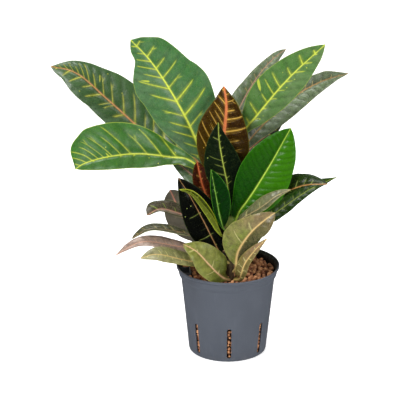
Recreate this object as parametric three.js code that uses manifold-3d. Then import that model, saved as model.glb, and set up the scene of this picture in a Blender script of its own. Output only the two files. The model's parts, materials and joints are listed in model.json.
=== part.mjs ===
// Potted croton: a bushy young plant with broad, coloured leaves, rooted in fired clay granules in a
// slotted culture pot. Millimetres, +Z up. The origin is the centre of the pot's underside, and the
// plant's best side faces -Y.
import * as THREE from 'three';
import { ParametricGeometry } from 'three/addons/geometries/ParametricGeometry.js';
import { mergeVertices } from 'three/addons/utils/BufferGeometryUtils.js';
import Module from 'manifold-3d';

// ---------------------------------------------------------------------------- driving dimensions

const CLEARANCE = 0.3; // between pieces that touch on the real plant

const POT = {
  height: 114,
  baseRadius: 49.2,
  baseEdge: 2,
  wallTopRadius: 59,
  collarBottom: 97,
  collarRadius: 62,
  lipBottom: 108,
  lipRadius: 65,
  wall: 1.4,
  floor: 2,
  facets: 48,
};
// The slots through the wall are spaced evenly, and leave a wider space where the gauge shaft is.
const SLOT = { count: 7, first: -138.1, spacing: 49.5, width: 5, height: 42, bottom: 5 };
const DRAIN = { width: 3, length: 13, radius: 31 }; // through the floor, one between each two slots
const SHAFT = { azimuth: 184, width: 19, depth: 10, wall: 1.2, top: 106.5 }; // for a water-level gauge
const BED = { top: 103.5, crown: 1.5 };

const STEM = {
  // Each shoot: the points that its axis runs through, and its radius at the foot and at the crown.
  main: {
    through: [[0, -19, 52], [1, -21, 99], [1, -14, 160], [-4, -6, 205], [-8, -2, 241]],
    radii: [5.4, 3.4],
  },
  side: {
    through: [[1, -20, 78], [4, -34, 104], [3, -37, 140], [-1, -37, 178]],
    radii: [3.6, 2.4],
  },
};
const ROOT = { count: 6, start: 4, reach: 24, drop: 36, radii: [2.4, 1] };

const BLADE_THICKNESS = 0.8;
const STALK_RADIUS = 1.5;
const KEEL = { foot: 1.6, tip: 0.7 }; // how far the midrib stands out under the blade

// Leaf colours run from bright young green to the dark and pinkish tones of old leaves.
const LEAF_FINISHES = {
  green: { colour: 0x3d6a33, roughness: 0.4 },
  bottle: { colour: 0x23402a, roughness: 0.38 },
  brown: { colour: 0x4a2f12, roughness: 0.4 },
  grey: { colour: 0x5d6b55, roughness: 0.5 },
  olive: { colour: 0x6f7040, roughness: 0.45 },
  black: { colour: 0x1d2f1a, roughness: 0.36 },
  young: { colour: 0x2c7a23, roughness: 0.35 },
  lime: { colour: 0x7c8a1c, roughness: 0.5 },
  pink: { colour: 0x86705c, roughness: 0.5 },
};
const POT_FINISH = { colour: 0x5f6570, roughness: 0.6 };
const GRANULE_FINISH = { colour: 0x7a4632, roughness: 0.9 };
const STEM_FINISH = { colour: 0x5b4a33, roughness: 0.8 };

// Each leaf: the shoot and the height that it grows from, the way its stalk leaves the shoot (degrees,
// 0 = +X), and the points that its midrib then runs through. left and right give the two halves of the
// blade, seen with the upper side towards the reader and the tip up: how wide, where along the blade it
// is widest, and how full it is towards the foot and towards the tip (small = blunt). faces is the way
// the upper side looks at the foot and at the tip, stalk is the bare share of the midrib, and fold is how
// far the halves stand up, near the midrib and further out.
const LEAVES = {
  crown_tall: {
    shoot: 'main', height: 234, azimuth: 160, finish: 'green',
    rib: [[-31, 4, 256], [-50, 12, 297], [-75, 18, 342], [-98, 20, 376], [-120, 20, 400]],
    left: [37, 0.5, 0.85, 0.72], right: [46, 0.47, 0.65, 0.62], faces: [[0, -1, 0.35], [0, -1, 0.1]],
    stalk: 0.09, fold: [14, 2],
  },
  crown_far_left: {
    shoot: 'main', height: 222, azimuth: 166, finish: 'bottle',
    rib: [[-48, 20, 251], [-89, 38, 263], [-147, 62, 307], [-193, 78, 342], [-224, 84, 348]],
    left: [28, 0.52, 1, 0.65], right: [36, 0.45, 1, 0.95], faces: [[0, -0.8, 1], [0, -1, 0.5]],
    stalk: 0.2, fold: [14, 4],
  },
  crown_low_left: {
    shoot: 'main', height: 209, azimuth: 192, finish: 'green',
    rib: [[-45, 4, 249], [-70, 10, 252], [-109, 0, 260], [-143, -24, 265], [-165, -40, 265],
      [-178, -50, 263], [-186, -56, 259]],
    left: [15, 0.45, 0.8, 0.35], right: [41, 0.67, 2, 0.33], faces: [[0, -1, 0.7], [0, -1, 0.45]],
    stalk: 0.12, fold: [10, 4],
  },
  crown_centre: {
    shoot: 'main', height: 230, azimuth: 265, finish: 'brown',
    rib: [[-9, -13, 258], [-6, -8, 287], [-3, -2, 324], [-6, 2, 347]],
    left: [34, 0.45, 0.6, 0.85], right: [34, 0.3, 0.6, 1.05], faces: [[0, -1, 0.35], [0, -1, 0.2]],
    stalk: 0.04, fold: [16, 6],
  },
  crown_right: {
    shoot: 'main', height: 236, azimuth: 25, finish: 'green',
    rib: [[9, 8, 271], [39, 10, 312], [74, 4, 357], [116, -8, 402]],
    left: [28, 0.45, 1, 0.9], right: [22, 0.55, 1, 0.8], faces: [[0, -1, 0.3], [0, -1, 0.1]],
    stalk: 0.22, fold: [16, 4],
  },
  crown_right_back: {
    shoot: 'main', height: 230, azimuth: 75, finish: 'grey',
    rib: [[9, 26, 298], [34, 52, 340], [57, 68, 363], [73, 76, 373]],
    left: [16, 0.5, 0.9, 0.7], right: [18, 0.5, 0.9, 0.9], faces: [[-0.3, -1, 0.3], [-0.3, -1, 0.3]],
    stalk: 0.15, fold: [16, 4],
  },
  crown_right_low: {
    shoot: 'main', height: 226, azimuth: 45, finish: 'grey',
    rib: [[21, 22, 263], [53, 46, 292], [91, 66, 319], [123, 78, 332], [153, 84, 339]],
    left: [16, 0.5, 1, 0.9], right: [19, 0.45, 1, 0.9], faces: [[-0.2, -1, 0.6], [-0.2, -1, 0.4]],
    stalk: 0.15, fold: [20, 8],
  },
  crown_right_short: {
    shoot: 'main', height: 216, azimuth: 60, finish: 'grey',
    rib: [[19, 28, 248], [43, 44, 265], [69, 52, 283]],
    left: [12, 0.5, 0.9, 0.9], right: [13, 0.5, 0.9, 0.9], faces: [[0, -1, 0.8], [0, -1, 0.6]],
    stalk: 0.2, fold: [14, 4],
  },
  shoot_dark: {
    shoot: 'side', height: 173, azimuth: 110, finish: 'black',
    rib: [[-1, -34, 226], [-7, -33, 258], [-12, -30, 288], [-13, -26, 309]],
    left: [24, 0.4, 0.8, 0.9], right: [23, 0.32, 0.8, 1], faces: [[0, -1, 0.2], [0, -1, 0.1]],
    stalk: 0.32, fold: [14, 4],
  },
  shoot_small: {
    shoot: 'side', height: 172, azimuth: 225, finish: 'young',
    rib: [[-10, -50, 192], [-17, -53, 230], [-22, -50, 257]],
    left: [7, 0.5, 0.8, 0.9], right: [17, 0.58, 0.8, 0.8], faces: [[0.2, -1, 0.2], [0.2, -1, 0.1]],
    stalk: 0.08, fold: [20, 8],
  },
  shoot_bright: {
    shoot: 'side', height: 174, azimuth: 330, finish: 'young',
    rib: [[11, -40, 195], [26, -40, 218], [50, -37, 258], [75, -29, 303]],
    left: [32, 0.52, 0.8, 0.75], right: [34, 0.42, 0.8, 0.8], faces: [[0, -1, 0.2], [0, -1, 0.1]],
    stalk: 0.12, fold: [14, 0],
  },
  shoot_olive_folded: {
    shoot: 'side', height: 164, azimuth: 215, finish: 'lime',
    rib: [[-13, -52, 176], [-29, -62, 205], [-47, -66, 231], [-61, -66, 237]],
    left: [9, 0.5, 0.8, 0.8], right: [9, 0.5, 0.8, 0.8], faces: [[0.6, -0.1, 1], [0.3, -0.4, 1]],
    stalk: 0.1, fold: [60, 50],
  },
  shoot_olive_right: {
    shoot: 'side', height: 166, azimuth: 310, finish: 'olive',
    rib: [[13, -46, 188], [38, -56, 209], [59, -60, 227], [75, -58, 234]],
    left: [12, 0.5, 0.8, 0.8], right: [8, 0.5, 0.8, 0.8], faces: [[0, -0.6, 1], [0, -0.6, 1]],
    stalk: 0.15, fold: [16, 4],
  },
  left_dark: {
    shoot: 'side', height: 129, azimuth: 205, finish: 'bottle',
    rib: [[-11, -35, 143], [-30, -36, 183], [-50, -36, 222], [-62, -32, 240]],
    left: [23, 0.42, 0.8, 0.8], right: [23, 0.45, 0.8, 0.8], faces: [[0, -1, 0.3], [0, -1, 0.3]],
    stalk: 0.1, fold: [10, 2],
  },
  left_brown: {
    shoot: 'main', height: 196, azimuth: 200, finish: 'brown',
    rib: [[-22, -16, 202], [-32, -20, 225], [-39, -18, 256]],
    left: [11, 0.5, 0.8, 0.6], right: [13, 0.5, 0.8, 0.6], faces: [[0, -1, 0.3], [0, -1, 0.3]],
    stalk: 0.2, fold: [16, 6],
  },
  left_under: {
    shoot: 'main', height: 204, azimuth: 165, finish: 'bottle',
    rib: [[-29, 0, 217], [-48, 14, 230], [-77, 26, 251]],
    left: [14, 0.5, 0.9, 0.9], right: [14, 0.5, 0.9, 0.9], faces: [[0, -1, 0.6], [0, -1, 0.4]],
    stalk: 0.15, fold: [16, 6],
  },
  left_grey: {
    shoot: 'main', height: 152, azimuth: 170, finish: 'grey',
    rib: [[-35, -4, 153], [-55, 10, 170], [-73, 28, 203]],
    left: [15, 0.5, 0.8, 0.7], right: [21, 0.5, 0.8, 0.7], faces: [[0.3, 1, 0.4], [0.3, 1, 0.2]],
    stalk: 0.2, fold: [16, 6],
  },
  left_small: {
    shoot: 'main', height: 166, azimuth: 185, finish: 'black',
    rib: [[-35, -18, 179], [-59, -20, 188], [-85, -24, 196], [-101, -28, 189]],
    left: [5, 0.6, 0.9, 0.6], right: [14, 0.65, 0.9, 0.5], faces: [[0, -0.8, 1], [0, -0.8, 1]],
    stalk: 0.3, fold: [14, 4],
  },
  left_arching: {
    shoot: 'main', height: 148, azimuth: 200, finish: 'grey',
    rib: [[-35, -24, 158], [-66, -28, 168], [-99, -32, 172], [-120, -36, 161]],
    left: [13, 0.55, 0.9, 0.7], right: [13, 0.55, 0.9, 0.7], faces: [[0, 0, 1], [0, 0, 1]],
    stalk: 0.2, fold: [14, 4],
  },
  left_pink: {
    shoot: 'main', height: 137, azimuth: 205, finish: 'pink',
    rib: [[-30, -28, 142], [-66, -34, 151], [-108, -50, 162], [-140, -68, 151]],
    left: [14, 0.5, 0.9, 1.2], right: [13, 0.5, 0.9, 1.1], faces: [[0, -0.4, 1], [0, -0.4, 1]],
    stalk: 0.15, fold: [12, 0],
  },
  low_left: {
    shoot: 'main', height: 114, azimuth: 215, finish: 'olive',
    rib: [[-25, -38, 127], [-56, -58, 142], [-90, -78, 157], [-108, -86, 155]],
    left: [14, 0.62, 1.3, 0.8], right: [16, 0.55, 0.9, 0.8], faces: [[0, -0.5, 1], [0, -0.5, 1]],
    stalk: 0.1, fold: [12, 0],
  },
  low_left_front: {
    shoot: 'side', height: 106, azimuth: 225, finish: 'olive',
    rib: [[-10, -46, 116], [-24, -52, 133], [-40, -57, 153], [-56, -56, 162]],
    left: [19, 0.5, 0.7, 0.7], right: [23, 0.36, 0.7, 0.8], faces: [[0.35, -1, 0.55], [0, -0.8, 1]],
    stalk: 0.07, fold: [14, 4],
  },
  low_right_front: {
    shoot: 'side', height: 118, azimuth: 310, finish: 'olive',
    rib: [[11, -48, 147], [26, -63, 179], [43, -68, 198], [56, -66, 207]],
    left: [23, 0.4, 0.7, 0.8], right: [15, 0.55, 0.8, 0.7], faces: [[0, -1, 0.3], [0, -1, 0.5]],
    stalk: 0.12, fold: [14, 4],
  },
  low_right_small: {
    shoot: 'side', height: 106, azimuth: 335, finish: 'olive',
    rib: [[14, -48, 114], [20, -60, 138], [32, -71, 160], [47, -76, 178]],
    left: [9, 0.4, 0.5, 0.9], right: [7, 0.4, 0.6, 0.9], faces: [[-0.3, -1, 0.4], [-0.3, -1, 0.5]],
    stalk: 0.05, fold: [16, 6],
  },
  low_right_back: {
    shoot: 'main', height: 112, azimuth: 350, finish: 'olive',
    rib: [[15, -24, 127], [30, -24, 146]],
    left: [6, 0.5, 0.8, 0.9], right: [6, 0.5, 0.8, 0.9], faces: [[0, -1, 0.5], [0, -1, 0.5]],
    stalk: 0.15, fold: [16, 6],
  },
  right_upper: {
    shoot: 'main', height: 178, azimuth: 350, finish: 'black',
    rib: [[27, -20, 197], [63, -32, 218], [93, -46, 235], [120, -56, 240]],
    left: [17, 0.6, 0.9, 0.8], right: [6, 0.6, 0.9, 0.8], faces: [[0, -0.8, 1], [0, -0.8, 1]],
    stalk: 0.2, fold: [14, 4],
  },
  right_lower: {
    shoot: 'main', height: 148, azimuth: 10, finish: 'black',
    rib: [[30, -4, 162], [66, 18, 180], [104, 40, 199], [140, 52, 212]],
    left: [14, 0.5, 0.9, 1.2], right: [11, 0.45, 0.9, 1.2], faces: [[0, -1, 1], [0, -1, 1]],
    stalk: 0.15, fold: [14, 4],
  },
  // These face away from the viewer, and fill the plant out behind.
  back_high_left: {
    shoot: 'main', height: 218, azimuth: 115, finish: 'green',
    rib: [[-34, 28, 252], [-54, 56, 283], [-74, 76, 311], [-88, 80, 332]],
    left: [26, 0.5, 0.9, 0.8], right: [26, 0.5, 0.9, 0.8], faces: [[0.3, 1, 0.6], [0.3, 1, 0.4]],
    stalk: 0.15, fold: [14, 4],
  },
  back_high: {
    shoot: 'main', height: 224, azimuth: 90, finish: 'green',
    rib: [[-5, 30, 256], [-2, 54, 277], [-2, 68, 294], [-3, 72, 309]],
    left: [24, 0.5, 0.9, 0.8], right: [24, 0.5, 0.9, 0.8], faces: [[0, -0.5, 1], [0, -0.5, 1]],
    stalk: 0.15, fold: [14, 4],
  },
  back_right: {
    shoot: 'main', height: 188, azimuth: 65, finish: 'bottle',
    rib: [[13, 30, 208], [35, 66, 209], [55, 90, 219], [69, 98, 232]],
    left: [22, 0.5, 0.9, 0.8], right: [20, 0.5, 0.9, 0.8], faces: [[0, 0, 1], [0, 0, 1]],
    stalk: 0.2, fold: [12, 2],
  },
  back_mid: {
    shoot: 'main', height: 182, azimuth: 95, finish: 'bottle',
    rib: [[-5, 36, 200], [1, 74, 204], [6, 104, 206], [10, 122, 201]],
    left: [20, 0.5, 0.9, 0.8], right: [20, 0.5, 0.9, 0.8], faces: [[0, 0, 1], [0, 0.4, 1]],
    stalk: 0.2, fold: [12, 2],
  },
  back_left: {
    shoot: 'main', height: 142, azimuth: 125, finish: 'bottle',
    rib: [[-20, 24, 157], [-38, 60, 162], [-55, 88, 164], [-69, 100, 160]],
    left: [18, 0.5, 0.9, 0.8], right: [18, 0.5, 0.9, 0.8], faces: [[0, 0, 1], [0, 0.3, 1]],
    stalk: 0.2, fold: [12, 2],
  },
  back_low_right: {
    shoot: 'main', height: 122, azimuth: 70, finish: 'olive',
    rib: [[13, 24, 131], [28, 56, 138], [40, 80, 139], [50, 92, 133]],
    left: [16, 0.5, 0.9, 0.8], right: [16, 0.5, 0.9, 0.8], faces: [[0, 0, 1], [0, 0.3, 1]],
    stalk: 0.2, fold: [12, 2],
  },
  back_low: {
    shoot: 'main', height: 130, azimuth: 100, finish: 'olive',
    rib: [[-12, 24, 142], [-16, 60, 147], [-20, 92, 142], [-22, 110, 132]],
    left: [16, 0.5, 0.9, 0.8], right: [16, 0.5, 0.9, 0.8], faces: [[0, 0, 1], [0, 0.4, 1]],
    stalk: 0.2, fold: [12, 2],
  },
  back_high_right: {
    shoot: 'main', height: 211, azimuth: 66, finish: 'green',
    rib: [[16, 38, 240], [38, 66, 264], [60, 88, 290], [76, 100, 310]],
    left: [19, 0.5, 0.9, 0.8], right: [19, 0.5, 0.9, 0.8], faces: [[-0.3, 1, 0.6], [-0.3, 1, 0.4]],
    stalk: 0.15, fold: [14, 4],
  },
  back_side_left: {
    shoot: 'main', height: 202, azimuth: 130, finish: 'green',
    rib: [[-27, 26, 216], [-46, 54, 222], [-64, 82, 224], [-76, 98, 216]],
    left: [19, 0.5, 0.9, 0.8], right: [19, 0.5, 0.9, 0.8], faces: [[0, 0.2, 1], [0, 0.5, 1]],
    stalk: 0.15, fold: [14, 4],
  },
  back_centre: {
    shoot: 'main', height: 166, azimuth: 85, finish: 'bottle',
    rib: [[-4, 30, 182], [2, 70, 176], [4, 104, 160], [5, 122, 144]],
    left: [19, 0.5, 0.9, 0.8], right: [19, 0.5, 0.9, 0.8], faces: [[0, 0.1, 1], [0, 0.6, 1]],
    stalk: 0.18, fold: [12, 2],
  },
  back_low_left: {
    shoot: 'main', height: 118, azimuth: 145, finish: 'olive',
    rib: [[-22, 12, 126], [-42, 38, 134], [-56, 62, 134], [-64, 76, 128]],
    left: [13, 0.5, 0.9, 0.8], right: [13, 0.5, 0.9, 0.8], faces: [[0, 0, 1], [0, 0.4, 1]],
    stalk: 0.2, fold: [12, 2],
  },
  back_side_right: {
    shoot: 'main', height: 160, azimuth: 40, finish: 'bottle',
    rib: [[22, 18, 176], [48, 44, 184], [68, 66, 184], [80, 80, 176]],
    left: [17, 0.5, 0.9, 0.8], right: [17, 0.5, 0.9, 0.8], faces: [[0, 0, 1], [0, 0.4, 1]],
    stalk: 0.2, fold: [12, 2],
  },
};

// ------------------------------------------------------------------------------------ solid maths

const wasm = await Module();
wasm.setup();

// A closed geometry with its shared vertices merged and the empty triangles at its poles dropped.
function closed(geometry) {
  geometry.deleteAttribute('normal');
  geometry.deleteAttribute('uv');
  const merged = mergeVertices(geometry, 1e-3);
  const kept = [];
  const index = merged.index.array;
  for (let i = 0; i < index.length; i += 3) {
    const [a, b, c] = index.subarray(i, i + 3);
    if (a !== b && b !== c && c !== a) kept.push(a, b, c);
  }
  merged.setIndex(kept);
  return merged;
}

function solid(geometry) {
  const merged = closed(geometry);
  return new wasm.Manifold(new wasm.Mesh({
    numProp: 3,
    vertProperties: new Float32Array(merged.attributes.position.array),
    triVerts: new Uint32Array(merged.index.array),
  }));
}

function geometryOf(made) {
  const mesh = made.getMesh();
  const geometry = new THREE.BufferGeometry();
  geometry.setAttribute('position', new THREE.BufferAttribute(new Float32Array(mesh.vertProperties), 3));
  geometry.setIndex(new THREE.BufferAttribute(new Uint32Array(mesh.triVerts), 1));
  return geometry;
}

const degrees = THREE.MathUtils.degToRad;
const lerp = THREE.MathUtils.lerp;
const vector = ([x, y, z]) => new THREE.Vector3(x, y, z);

// A smooth curve through hand-set points.
const curveThrough = (points) => new THREE.CatmullRomCurve3(points, false, 'centripetal');

// Skins a row of rings along a curve, with a pole at each end. place(share, around) gives each point.
function skin(place, around, along) {
  const surface = (u, v, target) => target.copy(place(v, Math.round(u * around) % around));
  return new ParametricGeometry(surface, around, along);
}

// ------------------------------------------------------------------------------------------- stem

const shoots = {
  main: curveThrough(STEM.main.through.map(vector)),
  side: curveThrough(STEM.side.through.map(vector)),
};

const LIMB_CAP = 0.015; // the share of a limb's length that each of its rounded ends takes
const ROOT_SIDES = 6;
const ROOT_STATIONS = 7;

// A round, tapering limb with rounded ends. extra makes it thicker all over.
function limb(curve, [first, last], extra = 0, around = 10, along = 12) {
  const frames = curve.computeFrenetFrames(along, false);
  return solid(skin((row, k) => {
    const i = Math.round(row * along);
    const inner = i > 0 && i < along;
    const share = inner ? lerp(LIMB_CAP, 1 - LIMB_CAP, (i - 1) / (along - 2)) : row;
    const radius = inner ? lerp(first, last, share) + extra : 0;
    const reach = i === 0 ? -extra : i === along ? extra : 0;
    const angle = (2 * Math.PI * k) / around;
    return curve.getPointAt(share)
      .addScaledVector(frames.normals[i], radius * Math.cos(angle))
      .addScaledVector(frames.binormals[i], radius * Math.sin(angle))
      .addScaledVector(frames.tangents[i], reach);
  }, around, along));
}

function rootCurve(number) {
  const angle = (2 * Math.PI * (number + 0.5)) / ROOT.count;
  const foot = vector(STEM.main.through[0]);
  const at = (outShare, dropShare) => foot.clone().add(new THREE.Vector3(
    ROOT.reach * outShare * Math.cos(angle),
    ROOT.reach * outShare * Math.sin(angle),
    ROOT.start - ROOT.drop * dropShare,
  ));
  return curveThrough([at(0, 0), at(0.45, 0.1), at(0.85, 0.45), at(1, 1)]);
}

// The woody part of the plant: main stem, side shoot and roots, grown as one.
function plantSolid(extra = 0) {
  let plant = limb(shoots.main, STEM.main.radii, extra).add(limb(shoots.side, STEM.side.radii, extra));
  for (let number = 0; number < ROOT.count; number++) {
    plant = plant.add(limb(rootCurve(number), ROOT.radii, extra, ROOT_SIDES, ROOT_STATIONS));
  }
  return plant;
}

// ----------------------------------------------------------------------------------------- leaves

// The point on a shoot at a height, and the shoot's radius there.
function onShoot(name, height) {
  const curve = shoots[name];
  let low = 0;
  let high = 1;
  for (let step = 0; step < 30; step++) {
    const middle = (low + high) / 2;
    if (curve.getPointAt(middle).z < height) low = middle;
    else high = middle;
  }
  return { point: curve.getPointAt(low), radius: lerp(...STEM[name].radii, low) };
}

const STALK_LIFT = 0.25; // how steeply a stalk rises as it leaves the shoot

function leafCurve({ shoot, height, azimuth, rib }) {
  const { point, radius } = onShoot(shoot, height);
  const out = new THREE.Vector3(Math.cos(degrees(azimuth)), Math.sin(degrees(azimuth)), STALK_LIFT);
  const foot = point.clone().addScaledVector(out, radius + CLEARANCE);
  const bend = foot.clone().addScaledVector(out, 2 * STALK_RADIUS);
  return curveThrough([foot, bend, ...rib.map(vector)]);
}

// How wide one half of a blade is at a share of its length.
function halfWidth(share, [widest, belly, base, tip]) {
  return share < belly
    ? widest * Math.sin((Math.PI / 2) * (share / belly)) ** base
    : widest * Math.cos((Math.PI / 2) * ((share - belly) / (1 - belly))) ** tip;
}

const QUARTER = 0.55; // the fold line between midrib and margin
// Across the leaf: over the top from the left margin to the right one, and back underneath.
const ACROSS = [-1, -QUARTER, 0, QUARTER, 1, QUARTER, 0, -QUARTER];
const STATIONS = 13;
const TIP_CROWDING = 1.3; // the stations lie closer together towards the tip
const STALK_END = 0.12; // the share of the blade over which the round stalk flattens out
const STALK_FLANK = 0.8; // how high the stalk's flanks stand, as a share of its radius
const TIP_RIB = 0.6;

function leafGeometry(leaf) {
  const curve = leafCurve(leaf);
  const [facesAtFoot, facesAtTip] = leaf.faces.map(vector);
  const [foldNear, foldFar] = leaf.fold.map(degrees);
  return closed(skin((row, k) => {
    const share = 1 - (1 - row) ** TIP_CROWDING;
    const rib = curve.getPointAt(share);
    if (share === 0 || share === 1) return rib;

    const along = curve.getTangentAt(share);
    const facing = facesAtFoot.clone().lerp(facesAtTip, share);
    const up = facing.addScaledVector(along, -facing.dot(along)).normalize();
    const right = along.clone().cross(up);

    const blade = Math.max(0, (share - leaf.stalk) / (1 - leaf.stalk));
    const flat = THREE.MathUtils.smoothstep(blade, 0, STALK_END);
    const across = ACROSS[k];
    const shape = across < 0 ? leaf.left : leaf.right;
    const half = Math.max(lerp(STALK_RADIUS, TIP_RIB, blade), halfWidth(blade, shape));
    const near = half * Math.min(Math.abs(across), QUARTER);
    const far = half * Math.abs(across) - near;
    const reach = lerp(near + far, near * Math.cos(foldNear) + far * Math.cos(foldFar), flat);
    const rise = flat * (near * Math.sin(foldNear) + far * Math.sin(foldFar));

    const onTop = k < 4;
    const keel = across || onTop ? BLADE_THICKNESS / 2 : lerp(KEEL.foot, KEEL.tip, blade);
    const depth = lerp(STALK_RADIUS * (across ? STALK_FLANK : 1), keel, flat);
    const offMargin = Math.abs(across) === 1 ? 0 : onTop ? depth : -depth;
    return rib.addScaledVector(right, Math.sign(across) * reach).addScaledVector(up, rise + offMargin);
  }, ACROSS.length, STATIONS));
}

// -------------------------------------------------------------------------------------------- pot

// The outside of the tapering wall, and the inside of the collar above it.
function outerRadiusAt(height) {
  const share = (height - POT.baseEdge) / (POT.collarBottom - POT.baseEdge);
  return lerp(POT.baseRadius, POT.wallTopRadius, share);
}
const COLLAR_STEP = 2; // height over which the wall steps out to the collar
const COLLAR_BORE = POT.collarRadius - POT.wall;
const WALL_BORE = POT.wallTopRadius - POT.wall;
const FLOOR_FILLET = 1.2;

function lathe(points) {
  const geometry = new THREE.LatheGeometry(points.map(([r, z]) => new THREE.Vector2(r, z)), POT.facets);
  return solid(geometry.rotateX(Math.PI / 2));
}

// A bar along X, from one radius to another, with round ends above and below: it cuts an upright slot.
function slotCutter(width, height, from, to) {
  const shape = new THREE.Shape();
  const radius = width / 2;
  shape.absarc(0, height - radius, radius, 0, Math.PI);
  shape.absarc(0, radius, radius, Math.PI, 2 * Math.PI);
  shape.closePath();
  const bar = new THREE.ExtrudeGeometry(shape, { depth: to - from, bevelEnabled: false, curveSegments: 6 });
  return bar.rotateX(Math.PI / 2).rotateZ(Math.PI / 2).translate(from, 0, 0);
}

// The gauge shaft's space, grown by a margin. Its inner side leans with the wall.
function shaftBox(margin, bottom, top) {
  const outside = POT.lipRadius;
  const inside = (height) => outerRadiusAt(height) - POT.wall - SHAFT.depth - margin;
  const box = new THREE.BoxGeometry(outside, SHAFT.width + 2 * margin, top - bottom);
  box.translate(outside / 2, 0, (bottom + top) / 2);
  const position = box.attributes.position;
  for (let i = 0; i < position.count; i++) {
    if (position.getX(i) < outside / 2) position.setX(i, inside(position.getZ(i)));
  }
  return solid(box.rotateZ(degrees(SHAFT.azimuth)));
}

// The partition that closes the shaft off from the granules, run a little way into the wall.
function shaftPartition() {
  const sunk = POT.wall / 3;
  const hollow = lathe([
    [0, POT.floor / 2], [outerRadiusAt(POT.floor) - POT.wall + sunk, POT.floor / 2],
    [WALL_BORE + sunk, POT.collarBottom], [COLLAR_BORE + sunk, POT.collarBottom + COLLAR_STEP],
    [COLLAR_BORE + sunk, SHAFT.top], [0, SHAFT.top],
  ]);
  return shaftBox(SHAFT.wall, POT.floor / 2, SHAFT.top)
    .subtract(shaftBox(0, POT.floor, POT.height))
    .intersect(hollow);
}

function potShell() {
  const { height, baseRadius, baseEdge, floor, wall, wallTopRadius, collarBottom, collarRadius } = POT;
  const { lipBottom, lipRadius } = POT;
  return lathe([
    [0, 0], [baseRadius - baseEdge, 0], [baseRadius - baseEdge * 0.3, baseEdge * 0.3],
    [baseRadius, baseEdge], [wallTopRadius, collarBottom],
    [collarRadius, collarBottom + COLLAR_STEP], [collarRadius, lipBottom],
    [lipRadius - 0.4, lipBottom + 0.6], [lipRadius, lipBottom + 1.4], [lipRadius, height - 0.8],
    [lipRadius - 0.8, height], [lipRadius - 1.6, height - 0.6], [COLLAR_BORE, lipBottom + 2],
    [COLLAR_BORE, collarBottom + COLLAR_STEP + 0.6], [WALL_BORE, collarBottom + 0.6],
    [outerRadiusAt(floor + FLOOR_FILLET) - wall, floor + FLOOR_FILLET],
    [outerRadiusAt(floor) - wall - FLOOR_FILLET, floor], [0, floor],
  ]);
}

function potSolid() {
  let pot = potShell().add(shaftPartition());
  for (let i = 0; i < SLOT.count; i++) {
    const turn = degrees(SLOT.first + SLOT.spacing * i);
    const slot = slotCutter(SLOT.width, SLOT.height, POT.baseRadius - SHAFT.depth / 2, POT.lipRadius);
    slot.translate(0, 0, SLOT.bottom).rotateZ(turn);
    pot = pot.subtract(solid(slot));
  }
  for (let i = 0; i < SLOT.count - 1; i++) {
    const drain = slotCutter(DRAIN.width, DRAIN.length, -POT.floor, 2 * POT.floor);
    drain.rotateY(-Math.PI / 2).translate(DRAIN.radius + DRAIN.length / 2, 0, 0);
    drain.rotateZ(degrees(SLOT.first + SLOT.spacing * (i + 0.5)));
    pot = pot.subtract(solid(drain));
  }
  return pot;
}

// The granules fill the pot to just under the collar's top, and are heaped a little in the middle.
function bedSolid() {
  const bottom = POT.floor + CLEARANCE;
  const floorRadius = outerRadiusAt(bottom) - POT.wall - FLOOR_FILLET - CLEARANCE;
  const wallRadius = WALL_BORE - CLEARANCE;
  const topRadius = COLLAR_BORE - CLEARANCE;
  const step = POT.collarBottom + COLLAR_STEP + 3 * CLEARANCE;
  const bed = lathe([
    [0, bottom], [floorRadius, bottom], [floorRadius + FLOOR_FILLET, bottom + FLOOR_FILLET],
    [wallRadius, POT.collarBottom + 2 * CLEARANCE], [topRadius, step], [topRadius, BED.top - 1],
    [topRadius - 3, BED.top], [topRadius / 2, BED.top + BED.crown * 0.8], [0, BED.top + BED.crown],
  ]);
  return bed
    .subtract(shaftBox(SHAFT.wall + CLEARANCE, 0, POT.height))
    .subtract(plantSolid(CLEARANCE));
}

// --------------------------------------------------------------------------------------- assembly

const plant = new THREE.Group();

function place(name, geometry, { colour, roughness }) {
  const material = new THREE.MeshStandardMaterial({ color: colour, roughness, metalness: 0 });
  const mesh = new THREE.Mesh(geometry, material);
  mesh.name = name;
  plant.add(mesh);
}

place('pot', geometryOf(potSolid()), POT_FINISH);
place('granule_bed', geometryOf(bedSolid()), GRANULE_FINISH);
place('stem', geometryOf(plantSolid()), STEM_FINISH);
for (const [name, leaf] of Object.entries(LEAVES)) {
  place('leaf_' + name, leafGeometry(leaf), LEAF_FINISHES[leaf.finish]);
}

export default plant;
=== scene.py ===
"""A potted croton: the looks of its leaves, stem, granules and pot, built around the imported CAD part."""

import json
import math
import random

import bmesh
import bpy
import numpy as np
from mathutils import Matrix, Vector


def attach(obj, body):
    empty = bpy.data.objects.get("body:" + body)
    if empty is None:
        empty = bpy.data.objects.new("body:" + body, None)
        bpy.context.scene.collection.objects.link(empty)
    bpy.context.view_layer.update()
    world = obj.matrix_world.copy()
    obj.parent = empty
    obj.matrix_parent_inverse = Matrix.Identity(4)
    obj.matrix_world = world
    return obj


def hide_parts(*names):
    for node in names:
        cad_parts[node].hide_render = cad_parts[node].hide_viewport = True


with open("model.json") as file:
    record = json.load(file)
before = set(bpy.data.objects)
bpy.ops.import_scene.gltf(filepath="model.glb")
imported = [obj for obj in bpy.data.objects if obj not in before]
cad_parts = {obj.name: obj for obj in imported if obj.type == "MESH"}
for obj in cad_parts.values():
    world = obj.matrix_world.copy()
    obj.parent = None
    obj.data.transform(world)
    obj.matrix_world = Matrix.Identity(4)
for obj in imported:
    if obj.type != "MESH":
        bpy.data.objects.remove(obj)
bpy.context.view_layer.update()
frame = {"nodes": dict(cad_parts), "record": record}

MM = 0.001
BODY = "root"
MERGE = 1e-5  # metres: vertices closer than this, in a CAD node or after a cut, are one
AXIS = 1e-6  # metres: so close are the vertices that meet on the axis of a turned solid
SEAM = 1e-7  # metres: so close are the vertices that meet at the seam of a wrapped grid


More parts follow.
